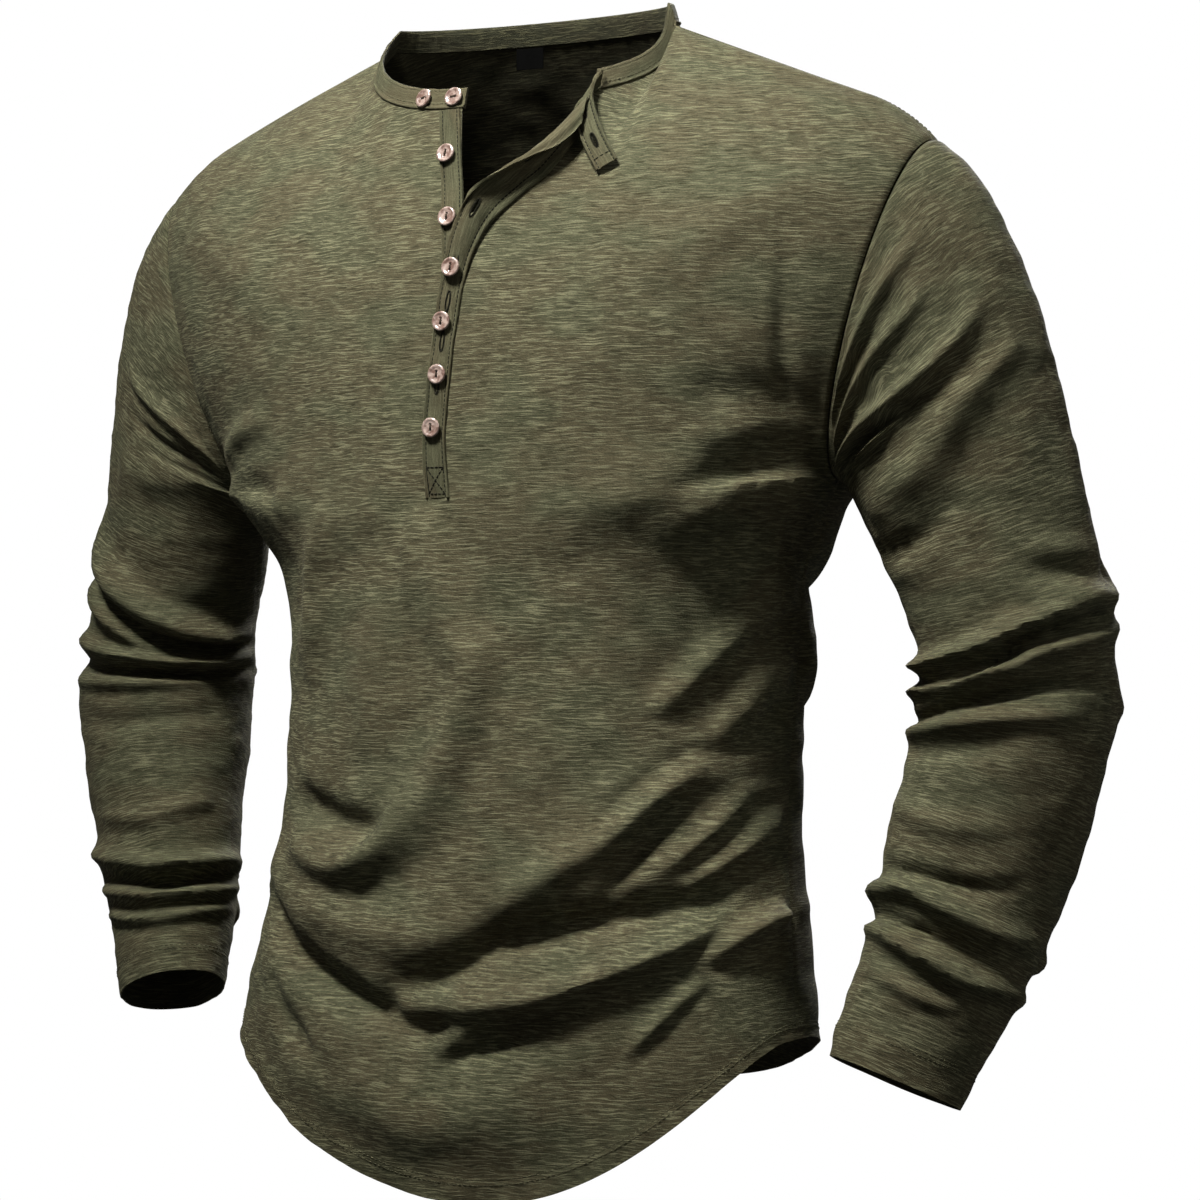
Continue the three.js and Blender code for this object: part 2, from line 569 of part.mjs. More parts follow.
// Where two walls meet over a rounded edge, both take one shared direction for their thickness.
function panelDirection(panel, other, s, t) {
  const own = outward(panel, s, t, panel.sign);
  const shoulderSeam = t === 1 && Math.abs(s) > NECK_COLUMN - 1e-6;
  const armholeSeam = Math.abs(s) === 1 && t > ARMPIT_UP;
  if (shoulderSeam) own.add(outward(other, s, t, other.sign));
  if (armholeSeam) {
    const turn = panel.sign * 180 * (1 - (t - ARMPIT_UP) / (1 - ARMPIT_UP));
    const sleeve = s > 0 ? SLEEVES.left : SLEEVES.right;
    const share = Math.max(0, Math.cos(turn * RADIANS)) ** 0.5;
    own.normalize().addScaledVector(sleeveOutward(sleeve, turn, 0, sleeve.side), share);
  }
  return own.normalize();
}

function panelWall(panel, other) {
  const columns = panelColumns();
  const rows = panelRows();
  const inset = SEAM / 2 / PANEL_HALF;
  const topInset = SEAM / 2 / PANEL_TALL;
  const outer = [];
  const inner = [];
  for (const t of rows) {
    const placed = columns.map((s) => panel.at(s * (1 - inset), t * (1 - topInset)));
    outer.push(placed);
    inner.push(placed.map((p, i) => p.clone().addScaledVector(panelDirection(panel, other, columns[i], t), -CLOTH)));
  }
  return facingOut(wall(outer, inner, false));
}

function sleeveWall(sleeve) {
  const turns = [];
  for (let j = 0; j < ROWS_HIGH; j += 1) turns.push((180 * j) / ROWS_HIGH);
  for (let j = 0; j < ROWS_HIGH; j += 1) turns.push(180 + (180 * j) / ROWS_HIGH);
  const downs = [];
  for (let j = 0; j < SLEEVE_ROWS_CAP; j += 1) downs.push((SLEEVE_CAP * j) / SLEEVE_ROWS_CAP);
  for (let j = 0; j <= SLEEVE_ROWS_ARM; j += 1) downs.push(mix(SLEEVE_CAP, 1, j / SLEEVE_ROWS_ARM));
  const outer = [];
  const inner = [];
  for (const down of downs) {
    const ring = turns.map((turn) => sleeve.at(turn, down));
    if (down === 0) {
      ring.forEach((p, i) => p.add(sleeve.at(turns[i], 0.01).sub(p).normalize().multiplyScalar(SEAM)));
    }
    const directions = turns.map((turn) => {
      const own = sleeveOutward(sleeve, turn, down, sleeve.side);
      if (down > 0) return own;
      const panel = turn > 0 && turn < 180 ? FRONT : BACK;
      const high = 1 - (turn <= 180 ? turn : 360 - turn) / 180;
      const t = mix(ARMPIT_UP, 1, high);
      const share = Math.max(0, Math.cos(turn * RADIANS)) ** 0.5;
      const theirs = outward(panel, sleeve.side, t, panel.sign);
      if (turn === 0) theirs.add(outward(FRONT, sleeve.side, 1, 1)).normalize();
      return own.addScaledVector(theirs, share).normalize();
    });
    outer.push(ring);
    inner.push(ring.map((p, i) => p.clone().addScaledVector(directions[i], -CLOTH)));
  }
  return facingOut(wall(outer, inner, true));
}

// The neck seam as the panels' walls have it: straight between the points of their top rows.
function neckEdge(angle) {
  const step = 90 / COLUMNS_NECK;
  const low = Math.floor(angle / step) * step;
  return neck(low).lerp(neck(low + step), (angle - low) / step);
}

// The band at an angle round the neck, at a share of its height, off its face by a lift.
function bandPoint(angle, share, lift) {
  const radial = point(Math.sin(angle * RADIANS), -Math.cos(angle * RADIANS), 0);
  const rise = point(0, 0, 1).addScaledVector(radial, -BAND_LEAN).normalize();
  const face = radial.clone().addScaledVector(point(0, 0, 1), BAND_LEAN).normalize();
  const place = neckEdge(angle).addScaledVector(rise, SEAM + BAND_HEIGHT * share);
  return { place: place.addScaledVector(face, lift), normal: face };
}

function neckBandWall() {
  const step = 90 / COLUMNS_NECK;
  const angles = [BAND_END_OPEN];
  for (let a = Math.ceil(BAND_END_OPEN / step + 0.01) * step; a <= 360; a += step) angles.push(a);
  angles.push(360 + BAND_END_BUTTONS);
  const rows = [0, 0.5, 1];
  const outer = rows.map((r) => angles.map((a) => bandPoint(a, r, 0).place));
  const inner = rows.map((r) => angles.map((a) => bandPoint(a, r, -BAND_THICK).place));
  return facingOut(wall(outer, inner, false));
}

// A strip that lies on the front: rows of places with their directions, given a thickness.
function stripWall(rows) {
  const outer = rows.map((row) => row.map((spot) => spot.place));
  const inner = rows.map((row) => row.map((spot) => spot.place.clone().addScaledVector(spot.normal, -STRIP)));
  return facingOut(wall(outer, inner, false));
}

function underStripWall() {
  const rows = [];
  const [first, last] = [UNDER_STRIP[0].z, UNDER_STRIP[UNDER_STRIP.length - 1].z];
  for (let j = 0; j <= UNDER_STEPS; j += 1) {
    const z = mix(first, last, j / UNDER_STEPS);
    const x = along(UNDER_STRIP, "z", z, "x");
    rows.push([-1, 0, 1].map((w) => onFront(x + w * UNDER_HALF_WIDTH, z - 1, LAYER + STRIP)));
  }
  return stripWall(rows);
}

// The over strip's rolled part gets its direction from its own grid, not from the front.
function overStripGrid() {
  const stations = OVER_STRIP.map((row, i) => ({ ...row, i }));
  const steps = (OVER_STRIP.length - 1) * OVER_STEPS;
  const grid = [];
  for (let j = 0; j <= steps; j += 1) {
    const at = j / OVER_STEPS;
    const value = (column) => along(stations, "i", at, column);
    const under = LAYER + STRIP;
    const overUnder = under + OVERLAP.high * clamp((at - OVERLAP.from) / OVERLAP.run, 0, 1);
    const seam = onFront(value("seamX"), value("seamZ"), under).place;
    const crest = onFront(value("crestX"), value("crestZ"), overUnder + value("lift") - 1).place;
    const free = onFront(value("freeX"), value("freeZ"), overUnder + value("freeLift") - 1).place;
    const bend = new THREE.QuadraticBezierCurve3(
      seam,
      crest.clone().multiplyScalar(2).addScaledVector(seam, -0.5).addScaledVector(free, -0.5),
      free,
    );
    grid.push([0, 0.25, 0.5, 0.75, 1].map((f) => bend.getPoint(f)));
  }
  return grid;
}

function overStripWall() {
  const grid = overStripGrid();
  const rows = grid.map((row, j) => row.map((place, i) => {
    const next = grid[Math.min(j + 1, grid.length - 1)][i];
    const last = grid[Math.max(j - 1, 0)][i];
    const right = row[Math.max(i - 1, 0)];
    const left = row[Math.min(i + 1, row.length - 1)];
    const normal = right.clone().sub(left).cross(next.clone().sub(last)).normalize();
    return { place, normal: normal.negate() };
  }));
  const facesFront = rows[0][2].normal.y < 0 ? 1 : -1;
  for (const spot of rows.flat()) spot.normal.multiplyScalar(facesFront);
  return stripWall(rows);
}

function tabWall() {
  const stations = TAB.map((row, i) => ({ ...row, i }));
  const rows = [];
  for (let j = 0; j <= TAB_STEPS; j += 1) {
    const at = (j / TAB_STEPS) * (TAB.length - 1);
    const value = (column) => along(stations, "i", at, column);
    const ahead = Math.min(at + 0.05, TAB.length - 1);
    const [dx, dz] = [
      along(stations, "i", ahead, "x") - along(stations, "i", ahead - 0.05, "x"),
      along(stations, "i", ahead, "z") - along(stations, "i", ahead - 0.05, "z"),
    ];
    const length = Math.hypot(dx, dz);
    rows.push([-1, 0, 1].map((w) => onFront(
      value("x") - (w * TAB_HALF_WIDTH * dz) / length,
      value("z") + (w * TAB_HALF_WIDTH * dx) / length,
      value("lift"),
    )));
  }
  return stripWall(rows);
}

// A round button with a rim and a dished face, its axis along +Z, its foot at z = 0.
function buttonGeometry() {
  const rim = BUTTON_RADIUS * 0.72;
  const profile = [
    [0, 0],
    [BUTTON_RADIUS * 0.8, 0],
    [BUTTON_RADIUS, BUTTON_THICK * 0.45],
    [BUTTON_RADIUS * 0.92, BUTTON_THICK],
    [rim, BUTTON_THICK],
    [rim * 0.85, BUTTON_THICK - BUTTON_DISH],
    [0, BUTTON_THICK - BUTTON_DISH],
  ];
  const geometry = new THREE.LatheGeometry(profile.map(([r, h]) => new THREE.Vector2(r, h)), BUTTON_SIDES);
  geometry.deleteAttribute("normal");
  geometry.deleteAttribute("uv");
  geometry.rotateX(Math.PI / 2);
  return facingOut(mergeVertices(geometry, BUTTON_STEP));
}

function labelWall() {
  const rows = [];
  for (let j = 0; j <= 2; j += 1) {
    const row = [];
    for (let i = 0; i <= 4; i += 1) {
      const x = LABEL.x + LABEL.wide * (i / 4 - 0.5);
      const angle = 180 - Math.asin(x / NECK_HALF_WIDTH) / RADIANS;
      const seam = neckEdge(angle);
      const down = LABEL.high * (j / 2) - LABEL.rise;
      const inward = point(Math.sin(angle * RADIANS), -Math.cos(angle * RADIANS), 0).negate();
      const place = seam.clone().addScaledVector(inward, LABEL.off);
      place.z -= down;
      row.push({ place, normal: inward });
    }
    rows.push(row);
  }
  const outer = rows.map((row) => row.map((spot) => spot.place));
  const inner = rows.map((row) => row.map((spot) => spot.place.clone().addScaledVector(spot.normal, -LABEL.thick)));
  return facingOut(wall(outer, inner, false));
}

// The wedge that opens the front above its last fastened button.
function openingWedge() {
  const shape = new THREE.Shape(OPENING.map((corner) => new THREE.Vector2(corner.x, corner.z)));
  const geometry = new THREE.ExtrudeGeometry(shape, { depth: WEDGE.deep, bevelEnabled: false });
  geometry.deleteAttribute("normal");
  geometry.deleteAttribute("uv");
  geometry.rotateX(Math.PI / 2);
  geometry.translate(0, WEDGE.back, 0);
  return facingOut(mergeVertices(geometry));
}

const jersey = (colour) => new THREE.MeshStandardMaterial({ color: colour, roughness: 0.92, metalness: 0 });
const group = new THREE.Group();

function add(name, geometry, material) {
  const mesh = new THREE.Mesh(geometry, material);
  mesh.name = name;
  group.add(mesh);
  return mesh;
}

function placeButton(name, spot, face) {
  const button = add(name, buttonGeometry(), new THREE.MeshStandardMaterial({
    color: SHELL,
    roughness: 0.35,
    metalness: 0,
  }));
  button.quaternion.setFromUnitVectors(point(0, 0, 1), face);
  button.position.copy(spot);
}

const wholeFront = toSolid(panelWall(FRONT, BACK));
const opening = toSolid(openingWedge());
add("front_body", fromSolid(wholeFront.subtract(opening)), jersey(GREEN));
add("back_body", panelWall(BACK, FRONT), jersey(GREEN));
add("sleeve_left", sleeveWall(SLEEVES.left), jersey(GREEN));
add("sleeve_right", sleeveWall(SLEEVES.right), jersey(GREEN));
add("neck_band", neckBandWall(), jersey(GREEN_DARK));
add("band_tab", tabWall(), jersey(GREEN_DARK));
add("placket_under", underStripWall(), jersey(GREEN_DARK));
add("placket_over", overStripWall(), jersey(GREEN_DARK));
for (const row of BUTTONS) {
  const { place, normal } = onFront(row.x, row.z, row.lift + STRIP);
  placeButton(row.name, place, normal);
}
for (const row of BAND_BUTTONS) {
  const { place, normal } = bandPoint(row.angle, row.up, LAYER);
  placeButton(row.name, place, normal);
}
add("neck_label", labelWall(), new THREE.MeshStandardMaterial({ color: BLACK, roughness: 0.6, metalness: 0 }));

export default group;
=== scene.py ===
"""The look of a long-sleeve henley shirt of slub cotton jersey, filled out as if worn.

Every cloth piece is a thin shell on the form of its solid, with its creases listed one by one. The
tables are in millimetres in the frame's axes: +Z is up, the front faces -Y and +X is the wearer's
left. Blender works in metres.
"""

from __future__ import annotations

import logging
import math
from dataclasses import dataclass, field
from enum import Enum

import bmesh
import bpy
import numpy as np
from mathutils import Matrix, Vector

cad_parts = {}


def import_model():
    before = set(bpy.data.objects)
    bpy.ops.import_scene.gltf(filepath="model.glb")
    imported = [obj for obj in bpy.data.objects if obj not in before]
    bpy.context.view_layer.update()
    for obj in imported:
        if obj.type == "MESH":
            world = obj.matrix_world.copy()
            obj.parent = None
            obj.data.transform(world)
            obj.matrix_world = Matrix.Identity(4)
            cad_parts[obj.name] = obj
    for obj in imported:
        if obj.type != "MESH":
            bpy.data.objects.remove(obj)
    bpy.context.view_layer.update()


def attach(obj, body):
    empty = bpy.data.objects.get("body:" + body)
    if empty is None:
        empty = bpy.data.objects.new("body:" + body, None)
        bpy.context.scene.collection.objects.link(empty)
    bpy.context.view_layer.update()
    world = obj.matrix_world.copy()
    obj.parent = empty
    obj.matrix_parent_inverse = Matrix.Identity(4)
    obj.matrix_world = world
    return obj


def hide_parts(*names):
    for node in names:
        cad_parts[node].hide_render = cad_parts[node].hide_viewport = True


MM = 0.001
BODY = "root"
LOG = logging.getLogger("henley")

Point = tuple[float, float]


class Slot(Enum):
    """The record's material slots."""

    JERSEY = "jersey"
    BAND = "band_jersey"
    BUTTON = "shell_button"
    LABEL = "woven_label"


# ---- Numbers and curves ------------------------------------------------------------------------


def mix(a: float | np.ndarray, b: float | np.ndarray, share: float | np.ndarray) -> np.ndarray:
    """A value between a and b at a share of the way."""
    return a + (b - a) * share


def ease(low: float, high: float, at: np.ndarray) -> np.ndarray:
    """0 below low, 1 above high, with a smooth step between."""
    f = np.clip((at - low) / (high - low), 0, 1)
    return f * f * (3 - 2 * f)


def unit(v: np.ndarray) -> np.ndarray:
    """The same directions with length 1."""
    return v / np.maximum(np.linalg.norm(v, axis=-1, keepdims=True), 1e-12)


class Track:
    """A smooth curve through the rows of a table."""

    def __init__(self, keys: list[float], values: list[float]) -> None:
        """Takes the table's keys, rising, and one of its columns."""
        self.keys = np.array(keys, float)
        self.values = np.array(values, float)
        i = np.arange(len(keys))
        low, high = np.maximum(i - 1, 0), np.minimum(i + 1, len(keys) - 1)
        self.slopes = (self.values[high] - self.values[low]) / (self.keys[high] - self.keys[low])

    def __call__(self, at: float | np.ndarray) -> np.ndarray:
        """The curve's value at one key or at many."""
        at = np.asarray(at, float)
        i = np.clip(np.searchsorted(self.keys, at) - 1, 0, len(self.keys) - 2)
        span = self.keys[i + 1] - self.keys[i]
        f = np.clip((at - self.keys[i]) / span, 0, 1)
        f2, f3 = f * f, f * f * f
        return (
            (2 * f3 - 3 * f2 + 1) * self.values[i]
            + (f3 - 2 * f2 + f) * self.slopes[i] * span
            + (3 * f2 - 2 * f3) * self.values[i + 1]
            + (f3 - f2) * self.slopes[i + 1] * span
        )


def tracks(rows: list[tuple[float, ...]], keys: list[float] | None = None) -> list[Track]:
    """One curve for each column of a table.

    Args:
        rows: the table's rows.
        keys: where each row stands. Without it the rows stand at 0, 1, 2 and on.
    """
    places = list(range(len(rows))) if keys is None else keys
    return [Track(places, [row[c] for row in rows]) for c in range(len(rows[0]))]


@dataclass(frozen=True)
class Crease:
    """A fold of the cloth along a given line.

    line is in the piece's own flat places, wide is its half width, and high is how far it
    stands proud, or sinks where it is negative. All are in millimetres.
    """

    line: tuple[Point, ...]
    wide: float
    high: float

    def lift(self, a: np.ndarray, b: np.ndarray) -> np.ndarray:
        """How far the fold moves the cloth at the flat places (a, b)."""
        steps = (len(self.line) - 1) * 5 + 1 if len(self.line) > 2 else 2
        at = np.linspace(0, len(self.line) - 1, steps)
        column_a, column_b = tracks(list(self.line))
        path = np.stack([column_a(at), column_b(at)], -1)
        lengths = np.linalg.norm(np.diff(path, axis=0), axis=1)
        total = lengths.sum()
        nearest = np.full(a.shape, np.inf)
        share = np.zeros(a.shape)
        run = 0.0
        for (pa, pb), (qa, qb), length in zip(path[:-1], path[1:], lengths):
            da, db = (qa - pa) / length, (qb - pb) / length
            f = np.clip((a - pa) * da + (b - pb) * db, 0, length)
            gap = np.hypot(a - pa - f * da, b - pb - f * db)
            closer = gap < nearest
            nearest = np.where(closer, gap, nearest)
            share = np.where(closer, (run + f) / total, share)
            run += length
        q = nearest / self.wide
        hump = 1.2 * np.exp(-(q**2)) - 0.2 * np.exp(-((q / 2.4) ** 2))
        return self.high * np.maximum(np.sin(math.pi * share), 0) ** 0.6 * hump


def ripple(a: np.ndarray, b: np.ndarray, across: float, seed: int) -> np.ndarray:
    """A soft uneven swell of the cloth, between about -1 and 1.

    Args:
        a, b: flat places in millimetres.
        across: the usual distance between two swells.
        seed: picks one pattern, the same in every run.
    """
    draw = np.random.default_rng(seed)
    total = np.zeros(a.shape)
    waves = 7
    for _ in range(waves):
        turn, phase, size = draw.uniform(0, math.pi), draw.uniform(0, 2 * math.pi), draw.uniform(0.6, 1.7)
        k = 2 * math.pi / (across * size)
        total += np.sin(k * (a * math.cos(turn) + b * math.sin(turn)) + phase)
    return total / math.sqrt(waves)


# ---- The shirt's form --------------------------------------------------------------------------

NECK = {"half": 90, "front": 79, "back": 48, "drop": 50, "rise": 5, "drawn": 0.4}
SHOULDER = {"half": 240, "slope": 0.4, "round_from": 205, "round": 12, "forward": 6}
ARMHOLE = {"x": 213, "swing": 27, "y": 8, "front": 46, "back": 52, "z": -161.5, "half": 88.5}
ARMHOLE_TURN = 58
SQUARENESS = 0.8
DROP_POWER = 2.2
HEM_SKEW, HEM_SKEW_UP = 0.12, 0.2
ARMPIT_UP, YOKE_UP, NECK_COLUMN, NECK_BLUR = 0.62, 0.72, 0.36, 0.16
LEVEL_FADE, HEIGHT_FADE = 3, 1.5

# Side edge: share of the height, x, y, z
SIDE_EDGE = [
    (0, 168.5, -10, -547),
    (0.12, 161.5, 0, -502),
    (0.27, 151.5, 15, -446),
    (0.4, 149, 24, -392),
    (0.51, 150, 32, -338),
    (0.575, 157, 27, -290),
    (0.62, 186, 8, -250),
]
# Middle lines of the front and the back: share of the height, y, z
FRONT_MIDDLE = [
    (0, -112, -630),
    (0.12, -114, -560),
    (0.27, -109, -475),
    (0.4, -104, -400),
    (0.51, -104, -335),
    (0.62, -106, -270),
    (0.76, -106, -190),
    (0.88, -98, -118),
    (1, -79, -50),
]
BACK_MIDDLE = [
    (0, 106, -582),
    (0.12, 107, -530),
    (0.27, 104, -470),
    (0.4, 101, -398),
    (0.51, 108, -335),
    (0.62, 116, -268),
    (0.76, 118, -182),
    (0.88, 98, -80),
    (1, 48, 5),
]
SLEEVE_TWIST = 30
SLEEVE_CAP = 0.3
REACH_IN = 0.3
CAP_PULL = 0.85
# Sleeve sections: x, y, z, wide, narrow, rise to the outer side, rise to the back
SLEEVE_SECTIONS = [
    (243, 21, -222, 55, 48, 0.6, 0.05),
    (259, 32, -280, 53.5, 47.5, 0.28, 0.12),
    (271.5, 37, -330, 50.5, 49.5, 0.15, 0.08),
    (275, 36, -368, 53, 52, 0, -0.05),
    (269, 28, -410, 50, 49, -0.15, -0.2),
    (260.5, 19, -450, 47, 43, -0.25, -0.27),
    (250, 9, -492, 41.5, 39, -0.27, -0.3),
    (239, -4, -526, 37.5, 34, -0.28, -0.32),
    (230, -14, -556, 34, 29.5, -0.3, -0.33),
]


def xyz(x: np.ndarray, y: np.ndarray, z: np.ndarray) -> np.ndarray:
    """Points from three arrays of one shape, or of shapes that go together."""
    return np.stack(np.broadcast_arrays(x, y, z), -1).astype(float)


def neck(angle: np.ndarray) -> np.ndarray:
    """The neck seam at angles from the centre front towards the wearer's left."""
    turn = np.radians(np.asarray(angle, float))
    x = NECK["half"] * np.sin(turn)
    front = np.cos(turn)
    power = np.where(x > 0, NECK["drawn"], 1)
    low = -NECK["drop"] * np.maximum(front, 0) ** power
    return xyz(
        x,
        np.where(front < 0, -front * NECK["back"], -front * NECK["front"]),
        np.where(front < 0, -front * NECK["rise"], low),
    )


def shoulder(side: np.ndarray, share: np.ndarray) -> np.ndarray:
    """The shoulder seam, from the neck to the head of the sleeve."""
    start_z = neck(90 * side)[..., 2]
    x = mix(NECK["half"], SHOULDER["half"], share)
    rounding = np.maximum(0, (x - SHOULDER["round_from"]) / (SHOULDER["half"] - SHOULDER["round_from"]))
    drop = SHOULDER["slope"] * (x - NECK["half"]) + SHOULDER["round"] * rounding**2
    y = ARMHOLE["y"] * share - SHOULDER["forward"] * np.sin(math.pi * share)
    fall = SHOULDER["slope"] * (SHOULDER["half"] - NECK["half"]) + SHOULDER["round"]
    stretch = (start_z - (ARMHOLE["z"] + ARMHOLE["half"])) / fall
    return xyz(side * x, y, start_z - drop * stretch)


def armhole(side: float | np.ndarray, turn: np.ndarray) -> np.ndarray:
    """The armhole seam: 0 degrees at the shoulder, 90 at the front, 180 at the armpit."""
    c, s = np.cos(np.radians(turn)), np.sin(np.radians(turn))
    depth = np.where(s > 0, ARMHOLE["front"], ARMHOLE["back"])
    return xyz(
        side * (ARMHOLE["x"] + ARMHOLE["swing"] * c), ARMHOLE["y"] - depth * s, ARMHOLE["z"] + ARMHOLE["half"] * c
    )


def section_shares(reach: np.ndarray, turn: np.ndarray) -> tuple[np.ndarray, np.ndarray]:
    """How far a section has turned sideways and back at a share of its half width."""
    round_to = lambda angle: 1 - np.maximum(0, np.cos(angle)) ** SQUARENESS
    return np.sin(reach * turn) / np.sin(turn), round_to(reach * turn) / round_to(turn)


class Surface:
    """A piece's outer face, over two flat shares."""

    def base(self, s: np.ndarray, t: np.ndarray) -> np.ndarray:
        """Points of the plain form, without folds."""
        raise NotImplementedError

    def outward(self, s: np.ndarray, t: np.ndarray) -> np.ndarray:
        """Directions out of the plain form."""
        raise NotImplementedError

    def folds(self, s: np.ndarray, t: np.ndarray, plain: np.ndarray) -> np.ndarray:
        """How far the folds move the cloth out."""
        raise NotImplementedError

    def at(self, s: float | np.ndarray, t: float | np.ndarray, lift: float | np.ndarray = 0.0) -> np.ndarray:
        """Points of the cloth's outer face, moved out by a lift in millimetres."""
        s, t = np.broadcast_arrays(np.asarray(s, float), np.asarray(t, float))
        plain = self.base(s, t)
        return plain + self.outward(s, t) * (self.folds(s, t, plain) + lift)[..., None]


class Panel(Surface):
    """The front or the back. s runs from -1, the wearer's right edge, to 1; t from hem to neck."""

    def __init__(self, sign: int, middle: list[tuple[float, ...]], creases: list[Crease], seed: int) -> None:
        """Takes 1 for the front or -1 for the back, its middle line and its creases."""
        self.sign, self.creases, self.seed = sign, creases, seed
        keys = [row[0] for row in middle]
        self.middle_y, self.middle_z = tracks([row[1:] for row in middle], keys)
        self.edge = tracks([row[1:] for row in SIDE_EDGE], [row[0] for row in SIDE_EDGE])
        self.top = middle[-1]

    def top_shift(self, across: np.ndarray) -> np.ndarray:
        """How far the neck and shoulder line lies from the plain section at the top."""
        side = np.where(across < 0, -1.0, 1.0)
        reach = np.minimum(np.abs(across), 1)
        angle = 90 * np.minimum(reach / NECK_COLUMN, 1) * side
        at_neck = neck(angle if self.sign > 0 else 180 - angle)
        at_shoulder = shoulder(side, np.clip((reach - NECK_COLUMN) / (1 - NECK_COLUMN), 0, 1))
        top = np.where((reach <= NECK_COLUMN)[..., None], at_neck, at_shoulder)
        sideways, depth = section_shares(reach, np.radians(ARMHOLE_TURN))
        edge = armhole(1, np.zeros(1))[0]
        plain = xyz(
            side * edge[0] * sideways,
            mix(self.top[1], edge[1], depth),
            mix(self.top[2], edge[2], sideways**DROP_POWER),
        )
        return top - plain

    def base(self, s: np.ndarray, t: np.ndarray) -> np.ndarray:
        """Points of the panel's plain form."""
        side, reach = np.where(s < 0, -1.0, 1.0), np.abs(s)
        high = np.clip((t - ARMPIT_UP) / (1 - ARMPIT_UP), 0, 1)
        below = xyz(*(track(t) for track in self.edge))
        edge = np.where((t <= ARMPIT_UP)[..., None], below, armhole(1, self.sign * 180 * (1 - high)))
        turn = np.radians(mix(90, ARMHOLE_TURN, ease(0, 0.35, high)))
        sideways, depth = section_shares(reach, turn)
        plain = xyz(
            side * edge[..., 0] * sideways,
            mix(self.middle_y(t), edge[..., 1], depth),
            mix(self.middle_z(t), edge[..., 2], sideways**DROP_POWER),
        )
        fade = np.clip(1 - t / HEM_SKEW_UP, 0, 1)
        plain[..., 2] -= HEM_SKEW * plain[..., 0] * (1 - sideways**2) * fade
        near = np.clip((t - YOKE_UP) / (1 - YOKE_UP), 0, 1)
        blur = NECK_BLUR * (1 - near)
        shift = (2 * self.top_shift(s) + self.top_shift(s - blur) + self.top_shift(s + blur)) / 4
        level = near**LEVEL_FADE
        return plain + shift * np.stack([level, level, near**HEIGHT_FADE], -1)

    def outward(self, s: np.ndarray, t: np.ndarray) -> np.ndarray:
        """Directions out of the panel, from two short steps on it."""
        h = 1.5e-3
        s0, s1 = np.maximum(s - h, -1), np.minimum(s + h, 1)
        t0, t1 = np.maximum(t - h, 0), np.minimum(t + h, 1)
        step_s = self.base(s1, t) - self.base(s0, t)
        step_t = self.base(s, t1) - self.base(s, t0)
        return unit(np.cross(step_s, step_t)) * self.sign

    def folds(self, s: np.ndarray, t: np.ndarray, plain: np.ndarray) -> np.ndarray:
        """The panel's creases, its uneven drape, its hem and the dips of its seams."""
        x, z = plain[..., 0], plain[..., 2]
        drape = FOLD_GAIN * sum((crease.lift(x, z) for crease in self.creases), np.zeros(x.shape))
        slack = mix(1.0, 0.45, ease(0.5, 0.8, t))
        drape += 0.75 * slack * ripple(x, z, 46, self.seed) + 0.28 * ripple(x, z, 15, self.seed + 1)
        edge = (1 - np.abs(s)) * PANEL_HALF
        drape *= ease(0, 12, edge)
        top = (1 - t) * PANEL_TALL
        drape *= ease(0, 14, top)
        hem = t * PANEL_TALL
        drape += 0.55 * (1 - ease(HEM_STITCH - 1.5, HEM_STITCH + 2.5, hem))
        drape += 0.3 * ripple(x, z, 11, self.seed + 2) * (1 - ease(6, 22, hem))
        seam = np.minimum(edge, np.where(np.abs(s) > NECK_COLUMN, top, edge))
        depth = mix(0.2, 1.0, ease(ARMPIT_UP - 0.02, ARMPIT_UP + 0.02, t))
        return drape - depth * (0.9 * np.exp(-((seam / 1.3) ** 2)) - 0.35 * np.exp(-(((seam - 4) / 2) ** 2)))


